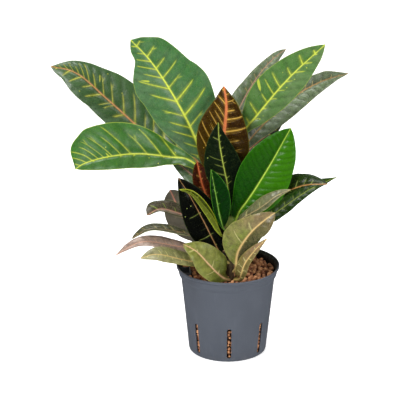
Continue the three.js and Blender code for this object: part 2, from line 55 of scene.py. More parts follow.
# ------------------------------------------------------------------------------------ small tools


def linear(code):
    """The shader's red, green, blue and alpha of a colour written as rrggbb."""
    parts = [int(code[i:i + 2], 16) / 255 for i in (0, 2, 4)]
    return [p / 12.92 if p <= 0.04045 else ((p + 0.055) / 1.055) ** 2.4 for p in parts] + [1]


def smoothstep(low, high, value):
    share = np.clip((np.asarray(value, float) - low) / (high - low), 0, 1)
    return share * share * (3 - 2 * share)


def unit(vectors):
    return vectors / np.maximum(np.linalg.norm(vectors, axis=-1, keepdims=True), 1e-12)


def hermite(knots, values, slopes, at):
    """A smooth curve through values at knots, with the given slopes there, read at several places."""
    i = np.clip(np.searchsorted(knots, at, "right") - 1, 0, len(knots) - 2)
    step = (knots[i + 1] - knots[i]).reshape(-1, *[1] * (values.ndim - 1))
    s = (at - knots[i]).reshape(step.shape) / step
    return (
        (1 + 2 * s) * (1 - s) ** 2 * values[i] + s * (1 - s) ** 2 * step * slopes[i]
        + s * s * (3 - 2 * s) * values[i + 1] + s * s * (s - 1) * step * slopes[i + 1]
    )


def smooth_through(knots, values, at):
    return hermite(knots, values, np.gradient(values, knots, axis=0), at)


def even_through(knots, values, at):
    """Like smooth_through, but it never swings past the values, so a thin stalk stays even."""
    rise = np.diff(values, axis=0) / np.diff(knots).reshape(-1, *[1] * (values.ndim - 1))
    slopes = np.zeros_like(values)
    before, after = rise[:-1], rise[1:]
    same = before * after > 0
    slopes[1:-1][same] = (2 * before * after)[same] / (before + after)[same]
    slopes[0], slopes[-1] = rise[0], rise[-1]
    return hermite(knots, values, slopes, at)


def along_line(points):
    """How far along a line of points each one lies."""
    steps = np.linalg.norm(np.diff(points, axis=0), axis=1)
    return np.concatenate([[0], np.cumsum(steps)])


def place(name, shape):
    """A new object, at the origin, whose mesh is the bmesh's."""
    mesh = bpy.data.meshes.new(name)
    shape.to_mesh(mesh)
    shape.free()
    piece = bpy.data.objects.new(name, mesh)
    bpy.context.scene.collection.objects.link(piece)
    return piece


def settle(piece):
    """The piece with its modifiers applied."""
    bpy.context.view_layer.update()
    seen = piece.evaluated_get(bpy.context.evaluated_depsgraph_get())
    mesh = bpy.data.meshes.new_from_object(seen)
    piece.modifiers.clear()
    old, piece.data = piece.data, mesh
    bpy.data.meshes.remove(old)
    return piece


def combine(piece, other, operation):
    """piece joined with other, cut by it, or kept only inside it. The other is used up."""
    change = piece.modifiers.new("combine", "BOOLEAN")
    change.object, change.operation, change.solver = other, operation, "EXACT"
    settle(piece)
    bpy.data.objects.remove(other)
    return piece


def merge_close(piece):
    """Merges the vertices that a cut has left almost on each other."""
    shape = bmesh.new()
    shape.from_mesh(piece.data)
    bmesh.ops.remove_doubles(shape, verts=shape.verts, dist=MERGE)
    shape.to_mesh(piece.data)
    shape.free()


def soften(piece, angle=30):
    """Smooth shading, with a crisp line wherever two faces meet at more than the angle."""
    piece.data.polygons.foreach_set("use_smooth", [True] * len(piece.data.polygons))
    piece.data.set_sharp_from_angle(angle=math.radians(angle))


def hand_over(piece, material, slot, *nodes):
    """Finishes a piece: its material, its body and the CAD nodes that it stands for. The slot is not used.
    """
    piece.data.materials.clear()
    piece.data.materials.append(material)
    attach(piece, BODY)
    if nodes:
        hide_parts(*nodes)


def worked(operation):
    """An operator of Value that adds a maths node."""
    return lambda a, b: a.graph.math(operation, a, b)


class Value:
    """A node's output. It stands in a sum as a number does, and the sum becomes maths nodes."""

    def __init__(self, graph, socket):
        self.graph, self.socket = graph, socket

    __add__ = __radd__ = worked("ADD")
    __sub__ = worked("SUBTRACT")
    __mul__ = __rmul__ = worked("MULTIPLY")
    __truediv__ = worked("DIVIDE")
    __pow__ = worked("POWER")
    __gt__ = worked("GREATER_THAN")
    __lt__ = worked("LESS_THAN")

    def __abs__(self):
        return self.graph.math("ABSOLUTE", self)

    def also(self, name):
        """Another output of the same node."""
        return Value(self.graph, self.socket.node.outputs[name])


class Graph:
    """A node tree with short ways to add nodes. An input takes a plain value or a Value."""

    def __init__(self, tree):
        self.tree = tree

    def feed(self, socket, value):
        if isinstance(value, Value):
            self.tree.links.new(value.socket, socket)
        else:
            socket.default_value = value

    def node(self, kind, inputs, out=0, **settings):
        """Adds a node, and gives its output of this name or number."""
        made = self.tree.nodes.new("ShaderNode" + kind)
        for name, value in settings.items():
            setattr(made, name, value)
        for name, value in inputs.items():
            self.feed(made.inputs[name], value)
        return Value(self, made.outputs[out])

    def math(self, operation, *values):
        return self.node("Math", dict(enumerate(values)), operation=operation)

    def most(self, a, b):
        return self.math("MAXIMUM", a, b)

    def clamp(self, value):
        return self.node("Clamp", {"Value": value})

    def step(self, value, low, high, start=0.0, end=1.0):
        """start where value is at most low, end where it is at least high, and smooth between."""
        inputs = {"Value": value, "From Min": low, "From Max": high, "To Min": start, "To Max": end}
        return self.node("MapRange", inputs, "Result", interpolation_type="SMOOTHSTEP")

    def fall(self, value, low, high):
        return self.step(value, low, high, 1.0, 0.0)

    def blend(self, share, a, b):
        """The mix of two numbers."""
        return self.node("Mix", {0: share, 2: a, 3: b}, data_type="FLOAT")

    def tint(self, share, a, b):
        """The mix of two colours."""
        return self.node("Mix", {0: share, 6: a, 7: b}, 2, data_type="RGBA")

    def noise(self, at, scale, detail=2.0, roughness=0.5):
        inputs = {"Vector": at, "Scale": scale, "Detail": detail, "Roughness": roughness}
        return self.node("TexNoise", inputs, "Fac")

    def cells(self, at, scale, feature="F1"):
        """How far it is to the middle of the nearest cell, or to the nearest edge between cells."""
        return self.node("TexVoronoi", {"Vector": at, "Scale": scale}, "Distance", feature=feature)

    def chance(self, number):
        """A random number from 0 to 1 for each whole number."""
        return self.node("TexWhiteNoise", {"W": number}, "Value", noise_dimensions="1D")

    def split(self, vector):
        first = self.node("SeparateXYZ", {0: vector})
        return [first.also(axis) for axis in "XYZ"]

    def join(self, x, y, z):
        return self.node("CombineXYZ", {0: x, 1: y, 2: z})

    def put_out(self, *results):
        """Ends a group: feeds its outputs, and gives its tree."""
        leave = self.tree.nodes.new("NodeGroupOutput")
        for label, result in zip(MADE, results):
            self.feed(leave.inputs[label], result)
        return self.tree


MADE = {"Color": "Color", "Roughness": "Float", "Relief": "Float"}  # what every group puts out


def new_group(name, given):
    """A shader node group: its graph, and its inputs by their names."""
    tree = bpy.data.node_groups.new(name, "ShaderNodeTree")
    for label, value in given.items():
        kind = "NodeSocketColor" if isinstance(value, list) else "NodeSocketFloat"
        tree.interface.new_socket(name=label, in_out="INPUT", socket_type=kind).default_value = value
    for label, kind in MADE.items():
        tree.interface.new_socket(name=label, in_out="OUTPUT", socket_type="NodeSocket" + kind)
    graph = Graph(tree)
    entry = tree.nodes.new("NodeGroupInput")
    return graph, {label: Value(graph, entry.outputs[label]) for label in given}


def finish_of(name, group, values, **surface):
    """A material whose colour, roughness and relief (in mm) come from a group with these values."""
    material = bpy.data.materials.new(name)
    material.use_nodes = True
    graph = Graph(material.node_tree)
    shader = material.node_tree.nodes["Principled BSDF"]
    colour = graph.node("Group", {}, node_tree=group)
    for label, value in values.items():
        colour.socket.node.inputs[label].default_value = value
    for label, value in surface.items():
        shader.inputs[label.replace("_", " ")].default_value = value
    relief = {"Strength": 1.0, "Distance": MM, "Height": colour.also("Relief")}
    graph.feed(shader.inputs["Base Color"], colour)
    graph.feed(shader.inputs["Roughness"], colour.also("Roughness"))
    graph.feed(shader.inputs["Normal"], graph.node("Bump", relief))
    return material


# --------------------------------------------------------------------------------------- leaf list

UNDER = 2.0  # added to a corner's place across the leaf, in its "veins" map, on the underside
RIGHT = 200.0  # added to its vein number on the right half

# The colours of each kind of leaf, in this order.
COLOURS = ("blade", "tone", "ribbed", "veins", "edged", "under", "stalk")
KINDS = {
    "green": ("265c1c", "3c5c38", "dbe64e", "c3d03a", "9db03a", "7f9468", "6d8038"),
    "bottle": ("1c3a1c", "38503a", "d08f58", "b4b43e", "6f7d34", "6d7f62", "4c5a30"),
    "brown": ("2a1a00", "453c02", "e0814c", "d39a48", "5e5a18", "7a5a40", "7d4a28"),
    "grey": ("5a6e44", "7e8a76", "c9967a", "b9a86a", "8a8a5a", "8b8b7c", "6a6048"),
    "olive": ("66681c", "857a50", "e0bd7a", "d6cf86", "9c9650", "8a8a62", "6c6a30"),
    "black": ("020801", "061206", "8fa044", "96a64c", "2f421c", "5d6e50", "7f8a48"),
    "young": ("357200", "124c00", "b4d24c", "6fae3a", "4a8f1e", "5f9a3c", "7fa040"),
    "lime": ("4a5600", "2c3a00", "8f9c20", "b4bc50", "a8b22a", "5e690e", "7c8030"),
    "pink": ("a38773", "7d705a", "d9a48a", "c9a98c", "a58a70", "a08c78", "7d6048"),
}
# What a row of the list may say, and what holds where it doesn't. Lengths are in millimetres, y runs
# from the foot to the tip, and pairs are the left and right half, seen from above with the tip up.
SHAPED = dict(
    lean=(0.6, 0.6),  # how far a lateral runs towards the tip for each step sideways, or (foot, tip)
    hook=0.15,  # how much more it does so near the margin
    puff=0.6,  # how much the blade swells between the laterals
    wave=0.6,  # how far the margin waves
    shine=0.45,  # the strength of the reflections
)  # and at: where the laterals start; outline: (y, left, right), factors on the two halves' widths
COLOURED = dict(
    spacing=12.0,  # the mean distance between the laterals' feet
    rib=2.6, vein=0.9,  # widths of the midrib at its foot, and of the laterals
    reach=(0.7, 0.7),  # how far the laterals run across their half
    veined=0.9, fine=0.3,  # the share of the laterals that show, and the strength of those between them
    spots=0.15,  # how many specks and patches there are
    edge=0.6,  # width of the coloured margin
    halo=0.25,  # how far the veins' colour bleeds into the blade
    cloud=0.35, tones=(0, 0, 0, 0),  # second tone in clouds, and on the left, right, foot and tip, which on some leaves paints sheen and shade
    deep=(0, 0, 0), deeper="16240a",  # painted shade: a darker colour on the left, right and foot
    mottled=0.4,  # dark clouds and pale flecks
    blot=(0, 0, 0),  # the place and size of one large spot
    gloss=0.32,  # roughness
)
DARK = dict(shine=0.2, gloss=0.27)
DARK_KINDS = ("brown", "black", "young", "lime")  # the kinds whose finish is DARK
# The bottle-kind leaves at the back have a far darker blade and tone than their kind: painted shade, for
# leaves deep behind the crown.
BOTTLE_BACK = dict(kind="bottle", blade="0d1a08", tone="1c2c14", shine=0.12, gloss=0.42)
GREEN_BACK = dict(kind="green", rib=3.0, vein=1.2)
OLIVE_BACK = dict(kind="olive", rib=2.8)
LEAVES = {
    "crown_tall": dict(
        kind="green", lean=((0.65, 1.25), (0.62, 0.25)), hook=0.1, rib=3.6, vein=1.25, reach=(0.78, 0.78),
        veined=1, fine=0, tones=(0.3, 0, 0.35, 0), deep=(0, 0, 0.25), deeper="1c4a18", blade="33702c",
        tone="5e7e58", blot=(-20, 149, 2), puff=0.9, wave=1,
        outline=((90, 1, 1), (108, 1, 1.07), (120, 1.02, 1.09), (132, 1.1, 1.06), (144, 1.17, 1),
            (156, 1.17, 1.03), (168, 1.04, 1.1), (180, 0.78, 1.2), (190, 0.92, 1.08)),
        at=((55, 68, 84, 105, 123, 139, 151.5), (70, 85, 106, 125, 139, 153.5, 172)),
    ),
    "crown_far_left": dict(
        kind="bottle", lean=((0.3, 0.8), (0.45, 1.3)), hook=0.1, rib=3.4, vein=1.3, reach=(0.7, 0.8),
        veined=1, fine=0, spots=0.3, deep=(0.3, 0, 0.3), deeper="12260e", blade="284e1e", tone="527046",
        blot=(13, 207, 1.6), puff=0.7,
        outline=((150, 1, 1.05), (168, 0.92, 1.05), (192, 0.92, 1.09), (204, 1.03, 1.06),
            (216, 1.12, 1.03), (228, 1.2, 1.04), (240, 1.22, 1.04), (252, 1.07, 1.04)),
        at=((153, 171, 175, 192, 208, 225), (87, 104, 118, 135, 154, 173, 188, 203, 213, 221)),
    ),
    "crown_low_left": dict(
        kind="green", lean=((0.5, 0.5), (1.1, 0.9)), hook=0, reach=(0.2, 1), fine=0, spots=0.4, edge=1,
        tones=(0.35, 0, 0.5, 0), blade="2c6c12", tone="4a7038", blot=(3, 170, 1.2), puff=0.7,
        outline=((60, 1, 1), (72, 0.76, 1), (84, 0.78, 1), (96, 0.96, 1), (108, 1.15, 1), (132, 1.28, 1),
            (168, 1.32, 1.02), (180, 1.3, 1.06), (192, 1.24, 1.11), (204, 1.14, 1.02), (216, 0.9, 0.75)),
        at=((60, 75, 90, 110, 130, 150, 170), (93, 112, 135, 149.5, 163, 175, 183, 192)),
    ),
    "crown_right": dict(
        kind="green", lean=((0.3, 0.55), (0.9, 1.6)), hook=0, rib=3, vein=1.1, reach=(0.75, 0.45), fine=0,
        spots=0.3, tones=(0, 0.5, 0, 0), blade="407824", tone="688452", blot=(-23, 116, 2.6), puff=0.8,
        outline=((150, 1.03, 1), (168, 1.1, 1), (180, 1.18, 1), (192, 1.3, 1.06), (204, 1.35, 1)),
        at=((68, 83, 103, 116, 128, 149, 170), (60, 75, 92, 108, 122, 138, 155)),
    ),
    "crown_right_back": dict(
        kind="grey", spacing=11, rib=2, vein=0.7, reach=(0.6, 0.5), fine=0.1, deep=(0, 0.3, 0.4),
        deeper="2a3424", ribbed="b88870", mottled=0.8,
        outline=((96, 1, 1), (108, 0.91, 1), (120, 0.78, 1), (132, 0.72, 1), (156, 0.66, 1),
            (180, 0.87, 1)),
    ),
    "crown_right_low": dict(
        kind="grey", rib=2, vein=0.7, reach=(0.5, 0.3), fine=0.1, spots=0.4, deep=(0.5, 0, 0.5),
        deeper="20281c", ribbed="c08a4a", mottled=0.8,
        outline=((90, 1, 1), (120, 1, 1.09), (144, 1, 1.12), (168, 1, 1.09), (180, 1.14, 1.08),
            (192, 1.4, 1.03), (204, 1.3, 0.85)),
    ),
    "crown_right_short": dict(kind="bottle", rib=1.8, blade="0b1207", tone="1a2412"),
    "crown_centre": dict(
        kind="brown", lean=((1.15, 1.5), (0.4, 0.15)), hook=0.1, rib=7, vein=1.1, reach=(0.9, 0.95),
        veined=1, fine=0.8, spots=0.3, edge=1.2, cloud=0.15, tones=(0.3, 0, 0.55, 0), deep=(0, 0.3, 0),
        deeper="160400", blade="280a00", tone="4a3802", veins="dcae48", mottled=0.3, puff=0.7,
        at=((31, 46, 56.5, 68, 78, 95), (36, 48, 62, 77.5, 87.5, 99, 108)),
    ),
    "shoot_dark": dict(
        kind="black", spacing=9, rib=2.2, vein=0.4, reach=(0.7, 0.4), veined=0.6, fine=0.1, cloud=0.1,
        tones=(0.3, 0, 0.2, 0), blade="020a04", tone="1a2814", ribbed="a8b64c", mottled=0.2, shine=0.06,
        puff=0.5,
        outline=((0, 1, 1), (4, 1.5, 4), (8, 2, 5.4), (18, 2, 5), (36, 2.5, 6), (42, 1.8, 4),
            (48, 1, 1.3), (60, 1, 1)),
    ),
    "shoot_bright": dict(
        kind="young", spacing=8.5, rib=2.4, vein=0.5, reach=(0.2, 0.3), veined=0, fine=0, spots=0,
        cloud=0.1, tones=(0.2, 0, 0, 0), deep=(0.9, 0, 0.5), deeper="043c00", blade="367400",
        tone="286000", mottled=0.1, puff=1.2,
        outline=((0, 1, 1), (5, 1.2, 1.8), (8, 1.4, 2.4), (12, 1.8, 2.6), (18, 2.1, 1.6), (24, 1.3, 1),
            (34, 1, 1), (96, 1, 1), (108, 1, 1.03), (120, 1, 1.09), (144, 1, 1.15)),
    ),
    "shoot_small": dict(
        kind="young", spacing=8, rib=1.8, vein=0.3, reach=(0.4, 0.4), veined=0.25, spots=0,
        blade="022a00", tone="033502", ribbed="86b848", mottled=0.1,
    ),
    "left_brown": dict(
        kind="brown", spacing=8, rib=4.2, vein=0.5, reach=(0.5, 0.5), veined=0.5, fine=0, blade="4a1c08",
        tone="34120a", ribbed="e07040",
    ),
    "left_dark": dict(
        kind="black", lean=(0, 0.3), spacing=16, rib=1.7, vein=0.7, reach=(0.8, 0.3), veined=0.4,
        spots=0.5, halo=0.1, blade="020402", tone="060a04", ribbed="a87a4c", mottled=0.1,
        at=((44, 59, 76, 92), (44, 59, 76, 92)),
    ),
    "shoot_olive_folded": dict(
        kind="lime", spacing=9, rib=2, vein=0.6, fine=0.1, edge=1.4, puff=0.2, wave=0,
    ),
    "left_grey": dict(
        kind="grey", rib=4.6, vein=0.5, blade="3a3519", tone="504a2b", ribbed="c98068", under="5a5346",
        mottled=0.6,
        outline=((24, 1, 1), (36, 1.1, 1.2), (60, 1.3, 1.45), (84, 1.4, 1.55), (96, 1.7, 1.9),
            (103, 1.9, 2.2)),
    ),
    "left_small": dict(
        kind="black", rib=3, vein=0.5, edge=1, tones=(0.9, 0.1, 0, 0), deep=(0, 0.8, 0.1),
        deeper="0a1a08", blade="202e16", tone="7e6e5e", ribbed="c08a78", mottled=0.7,
        outline=((72, 1, 0.95), (84, 1, 0.85), (96, 1, 1.2)),
    ),
    "left_arching": dict(
        kind="grey", rib=2, vein=0.7, edge=1.4, tones=(0.5, 0, 0, 0.4), blade="32381d", tone="5c5d42",
        mottled=0.9,
        outline=((72, 1.1, 1.1), (84, 1.1, 1.1), (96, 1.1, 1.25), (110, 1, 1.35), (120, 0.9, 1.3)),
    ),
    "left_pink": dict(
        kind="pink", rib=2, vein=0.7, fine=0.6, spots=0.5, blade="b4978a", tone="8a7d6c", mottled=0.7,
        outline=((72, 1, 0.92), (84, 1, 0.96), (96, 0.9, 0.96), (108, 0.8, 0.96), (120, 0.66, 0.96),
            (135, 0.6, 1.05), (150, 0.6, 1)),
    ),
    "low_left": dict(
        kind="olive", vein=1, reach=(0.6, 0.6), fine=0.5, tones=(0, 0, 0, 0.5), deep=(0, 0.4, 0.4),
        deeper="3a4a10", blade="7c8230", tone="a39c76", mottled=0.5,
        outline=((60, 1, 1), (84, 0.9, 1), (96, 1, 1), (108, 1.25, 1), (120, 1.3, 1)),
    ),
    "low_left_front": dict(
        kind="olive", spacing=14, rib=2.8, vein=0.8, reach=(0.8, 0.4), veined=0.5, fine=0.1,
        tones=(0, 0, 0.5, 0), deep=(0, 0.15, 0.6), deeper="2c3c08", blade="92904a", tone="7a8828",
        ribbed="e6b98a", mottled=0.6,
    ),
    "low_right_front": dict(
        kind="olive", rib=3.6, vein=0.7, reach=(0.75, 0.3), veined=0.4, fine=0.1, tones=(0.1, 0, 0, 0.85),
        deep=(0, 0.95, 0.1), deeper="1c3208", blade="74901a", tone="8e7a54", mottled=0.8,
        outline=((18, 0.8, 1), (24, 0.85, 1), (30, 0.95, 1), (42, 1.1, 1), (54, 1.18, 1), (66, 1.18, 1),
            (76, 1.05, 1), (84, 1, 1.17), (96, 1, 1.38), (105, 1, 1.45)),
    ),
    "shoot_olive_right": dict(
        kind="olive", rib=1.8, vein=0.5, veined=0.4, tones=(0, 0, 0, 0.6), deep=(0.1, 0.6, 0.5),
        deeper="242c10", blade="6c7434", tone="86866a", ribbed="c8b080", mottled=0.9,
    ),
    "right_upper": dict(
        kind="black", vein=0.5, veined=0.5, fine=0.6, deep=(0.2, 0, 0.4), deeper="060c02", blade="102802",
        tone="223903", ribbed="c98a50", mottled=0.8,
        outline=((72, 1, 1), (84, 1.1, 1), (96, 1.16, 1), (108, 1.05, 1)),
    ),
    "right_lower": dict(
        kind="black", rib=2, vein=0.5, reach=(0.6, 0.5), veined=0.6, edge=1.6, deep=(0, 0.3, 0.5),
        deeper="0a1604", blade="1a3e04", tone="2d4c0c", mottled=0.8,
        outline=((48, 1, 1), (60, 1, 1.12), (72, 1, 0.96), (84, 1, 0.9), (96, 1, 0.79), (132, 1.1, 0.79),
            (144, 1.2, 0.9)),
    ),
    "low_right_small": dict(
        kind="olive", rib=2.4, vein=0.8, reach=(0.9, 0.9), veined=0.6, tones=(0, 0, 0, 0.7),
        deep=(0, 0.3, 0.8), deeper="3a4408", blade="6c6a1e", tone="9a7a5a",
    ),
    "low_right_back": dict(kind="olive", rib=2, edge=1.6),
    "left_under": dict(
        kind="bottle", vein=0.6, reach=(0.4, 0.4), blade="3a5a32", tone="5a6a4a", ribbed="c08878",
        outline=((36, 1, 1), (48, 0.85, 1), (60, 0.72, 1), (72, 0.68, 1)),
    ),
    "back_high_left": dict(GREEN_BACK, outline=((0, 1, 1), (25, 1.25, 1.25), (60, 1.25, 1.25))),
    "back_high": GREEN_BACK,
    "back_high_right": GREEN_BACK,
    "back_side_left": dict(GREEN_BACK, outline=((0, 1, 1), (25, 1.2, 1.2), (60, 1.2, 1.2))),
    "back_right": dict(BOTTLE_BACK, outline=((0, 1, 1), (25, 1.3, 1.3), (60, 1.3, 1.3))),
    "back_mid": dict(BOTTLE_BACK, outline=((0, 1, 1), (25, 1.6, 1.6), (60, 1.6, 1.6))),
    "back_left": BOTTLE_BACK,
    "back_centre": dict(
        BOTTLE_BACK,
        outline=((0, 1, 1), (8, 1.6, 2.2), (14, 2.2, 3.2), (28, 2.6, 4), (36, 1.8, 1.9), (60, 1.7, 1.7)),
    ),
    "back_side_right": BOTTLE_BACK,
    "back_low_right": OLIVE_BACK,
    "back_low": OLIVE_BACK,
    "back_low_left": OLIVE_BACK,
}

# --------------------------------------------------------------------------------- leaf materials


OWN = dict(length=100.0, stalk_length=10.0, seed=0.0)  # these come from each leaf's own mesh
BLACK = linear("000000")


def colours_of(kind):
    return dict(zip(COLOURS, KINDS[kind]))


def leaf_values(look):
    """What the colouring of a leaf is given, by the names of its inputs."""
    values = {}
    for key in (*OWN, *COLOURED, *COLOURS):
        label, value = key.replace("_", " ").title(), look[key]
        if isinstance(value, tuple):
            parts = ("X", "Y", "Size") if key == "blot" else ("Left", "Right", "Foot", "Tip")
            values.update({f"{label} {part}": number for part, number in zip(parts, value)})
        else:
            values[label] = linear(value) if isinstance(value, str) else value
    return values


def leaf_colouring():
    """What a croton leaf shows: midrib, lateral veins, thin margin, tones of the blade, fine netting, and
    painted sheen and shade.
    """
    g, leaf = new_group("leaf_colouring", leaf_values({**OWN, **COLOURED, **colours_of("green")}))
    x, y, _ = g.split(g.node("UVMap", {}, uv_map="plan"))
    numbered, across, _ = g.split(g.node("UVMap", {}, uv_map="veins"))
    right = numbered > RIGHT / 2
    under = across > UNDER - 0.5
    out = across - under * UNDER
    phase = numbered - right * RIGHT
    share = y / leaf["Length"]
    place_on = g.join(x, y, leaf["Seed"] * 7.3)
    wobble = g.noise(place_on, 0.16, 3.0) - 0.5

    def laterals(at, width, reach_scale, strength, salt):
        """The lateral veins and the glow beside them. Each has its own length, width and strength."""
        number = g.math("ROUND", at)
        odds = number + right * 37.0 + (leaf["Seed"] + salt)
        length, thick, shown = (g.chance(odds + shift) for shift in (0.13, 0.37, 0.71))
        reach = g.blend(right, leaf["Reach Left"], leaf["Reach Right"]) * g.blend(length, 0.68, 1.12)
        reach = reach * reach_scale
        half = width * g.blend(thick, 0.34, 0.66)
        half = half * g.blend(g.clamp(out / g.most(reach, 0.01)), 1.0, 0.36)
        off = abs(at - number) * leaf["Spacing"] * 0.8 + wobble * half * 0.8
        # About one lateral in five forks near its end.
        fork = g.most(out - reach * 0.62, 0.0) * g.blend(thick, -1.6, 1.6)
        fork = abs(at - number - fork) * leaf["Spacing"] * 0.8 + g.step(thick, 0.2, 0.25, 0.0, 9.0)
        off = g.math("MINIMUM", off, fork + half * 0.25)
        core = g.fall(off, half * 0.5, half * 1.15)
        core = core * g.step(g.noise(g.join(x, y, odds), 0.22), 0.3, 0.55, 0.3, 1.0)
        glow = g.fall(off, half, half * 3.2 + 0.8)
        there = (shown < leaf["Veined"]) * g.fall(out, reach - 0.16, reach) * strength
        return core * there, glow * there

    vein, glow = laterals(phase, leaf["Vein"], 1.0, 1.0, 0.0)
    fine, _ = laterals(phase * 2.0 + 0.5, leaf["Vein"] * 0.42, 0.8, leaf["Fine"], 90.0)
    vein = g.most(vein, fine)

    # The midrib tapers towards the tip.
    half_rib = leaf["Rib"] * 0.5 * g.blend(g.clamp(share), 1.1, 0.36)
    from_rib = abs(x) + wobble * 0.5
    rib = g.fall(from_rib, half_rib * 0.6, half_rib * 1.12)
    rib_glow = g.step(from_rib, half_rib, half_rib * 2.0 + 1.2, 0.5, 0.0)

    # The margin: how many millimetres in from it, by the half's width here.
    inward = abs(x) * (g.math("DIVIDE", 1.0, g.most(out, 0.02)) - 1.0)
    edge = g.fall(inward, leaf["Edge"] * 0.5, leaf["Edge"])

    # Tones: cloudy all over, and a second tone on one half, at the foot and at the tip, which on some
    # leaves is painted sheen and painted shade. Then painted shade, darker, on one half and at the foot.
    cloud = g.step(g.noise(place_on, 0.045, 3.0, 0.6), 0.36, 0.66)
    tone = cloud * leaf["Cloud"]
    # On some leaves the tone on one half and at the foot is the leaf's own colour; on crown_tall and
    # shoot_dark it paints a greyish sheen, on shoot_bright a shaded left half.
    tone += g.blend(right, leaf["Tones Left"], leaf["Tones Right"]) * g.blend(cloud, 0.7, 1.0)
    tone += leaf["Tones Foot"] * g.fall(share, 0.1, 0.6)
    tone += leaf["Tones Tip"] * g.step(share, 0.45, 0.95)
    colour = g.tint(g.clamp(tone), leaf["Blade"], leaf["Tone"])
    # Painted shade: a darker colour on one half, easing off towards the tip, and at the foot.
    deep = g.blend(right, leaf["Deep Left"], leaf["Deep Right"]) * g.step(share, 0.45, 1.0, 1.0, 0.5)
    deep += leaf["Deep Foot"] * g.fall(share, 0.1, 0.55)
    colour = g.tint(g.clamp(deep), colour, leaf["Deeper"])
    colour = g.tint(g.step(g.noise(place_on, 0.5, 4.0, 0.6), 0.3, 0.75, 0.0, 0.3), colour, leaf["Tone"])

    # Mottling: darker clouds a few millimetres across, and pale flecks.
    murk = g.step(g.noise(place_on, 0.2, 4.0, 0.65), 0.36, 0.6, 0.5, 0.0)
    colour = g.tint(murk * leaf["Mottled"], colour, BLACK)
    flecked = g.step(g.noise(place_on, 0.75), 0.56, 0.72, 0.0, 0.3)
    colour = g.tint(flecked * leaf["Mottled"], colour, leaf["Veins"])

    # Painted shade: the blade is darker beside each lateral, where it lies in a groove, than in the bay
    # between two.
    bay = abs(phase - g.math("ROUND", phase))
    painted_groove_shade = g.step(bay, 0.05, 0.32, 0.3, 0.0) * g.fall(out, 0.9, 1.0)
    colour = g.tint(painted_groove_shade, colour, g.tint(0.6, colour, BLACK))

    # Fine netting, and specks and blotches of the vein's colour.
    net = g.fall(g.cells(g.join(wobble * 3.0 + x, y, leaf["Seed"]), 0.42, "DISTANCE_TO_EDGE"), 0.02, 0.14)
    colour = g.tint(net * 0.3, colour, leaf["Tone"])
    dots = g.cells(g.join(x, y, leaf["Seed"] * 3.1), 0.17)
    chosen = g.split(dots.also("Color"))[0] < leaf["Spots"] * 0.5
    speck = g.fall(dots + wobble * 0.1, 0.1, 0.16) * chosen
    patch = g.step(g.noise(place_on, 0.1), g.blend(leaf["Spots"], 0.86, 0.7),
                   g.blend(leaf["Spots"], 0.9, 0.74))
    beyond = y - leaf["Blot Y"]
    aside = x - leaf["Blot X"] + beyond * g.blend(right, 1.0, -1.0)
    from_blot = g.math("SQRT", aside ** 2.0 + (beyond * 0.5) ** 2.0) + wobble * 3.0
    blot = g.fall(from_blot - leaf["Blot Size"], -0.7, 0.3)
    spot = g.most(blot, g.most(speck, patch))
    for amount, shade in (
        (glow * leaf["Halo"], "Veins"), (rib_glow * leaf["Halo"], "Ribbed"), (spot * 0.8, "Veins"),
        (vein, "Veins"), (edge * 0.75, "Edged"),
    ):
        colour = g.tint(amount, colour, leaf[shade])

    # The underside is paler, with its veins showing faintly. The stalk is the same all round.
    pale = g.tint(net * 0.22, leaf["Under"], leaf["Blade"])
    pale = g.tint(painted_groove_shade * 0.8, pale, leaf["Blade"])
    colour = g.tint(under * 0.72, colour, pale)
    stalk = g.fall(y, leaf["Stalk Length"], leaf["Stalk Length"] + 5.0)
    colour = g.tint(stalk, colour, leaf["Stalk"])
    worn = g.step(g.noise(place_on, 0.9, 3.0), 0.35, 0.75, 0.0, 0.35)
    ribbed = g.tint(worn, leaf["Ribbed"], leaf["Stalk"])
    colour = g.tint(rib * g.blend(stalk, 1.0, 0.6) * g.blend(under, 1.0, 0.7), colour, ribbed)

    rough = leaf["Gloss"] + (g.noise(place_on, 0.12, 3.0) - 0.5) * 0.22 + (vein * 0.08 + rib * 0.06)
    relief = g.noise(place_on, 1.1, 4.0, 0.6) * 0.05 - net * 0.05 + vein * 0.09 + edge * 0.05
    return g.put_out(colour, g.clamp(g.blend(under, rough, 0.62)), relief)


LEAF_COLOURING = leaf_colouring()

# ---------------------------------------------------------------------------------- leaf geometry

RING = 8  # vertices round a CAD leaf: left margin, over the top to the right margin, and back below
WIDE_RINGS = slice(3, 10)  # rings that are wide in every leaf
QUARTER = 0.55  # the place across, between midrib and margin, of a CAD leaf's other vertices
STALK_RADIUS = 1.4
BLADE_HALF = 0.34  # half the blade's thickness
CAD_HALF = 0.4  # half the thickness of a CAD leaf's blade
CAD_STALK, CAD_FLANK = 1.5, 1.2  # half the depth of its stalk, in the middle and at the quarter
SUNK = 0.9  # how far a stalk runs on into the shoot that bears it
TOP, BELOW = 34, 20  # faces across the upper side and the underside
ROW = 1.25  # distance between two rows of faces along the leaf
CROWD_TOP, CROWD_BELOW = 0.35, 0.25  # how much closer together the faces are at the midrib
FOOT, TIP, TIP_ROWS = 1.2, 4.0, 9  # lengths of the rounded foot and of the tip, and rows in the tip
FIRST_VEIN = (0.0, 0.5)  # where the laterals of each half start, as a share of their spacing
MORE_VEINS = 12  # laterals that follow on at both ends of the ones in a leaf's row
KEEL = (1.25, 0.5)  # heights of the keel under the midrib, at the foot and at the tip
KEEL_WIDTH, KEEL_END = 1.5, 3  # its half-width over its height, and how long it takes to fade out
GROOVE = ((0.34, 1.1), (-0.42, 2.8))  # heights and widths of the ridge and of the groove it lies in
UNEVEN = 0.16  # how far the blade is from even
FOOT_SWELL = 0.4  # how much thicker the stalk is at its foot
WAVES = 2.2  # waves of the margin along a leaf


def linked_ring(ring):
    """The vertices of a ring, each beside the next one."""
    path, inside = [ring[0]], set(ring)
    while len(path) < len(ring):
        beside = [e.other_vert(path[-1]) for e in path[-1].link_edges]
        path.append(min((v for v in beside if v in inside and v not in path), key=lambda v: v.index))
    return path


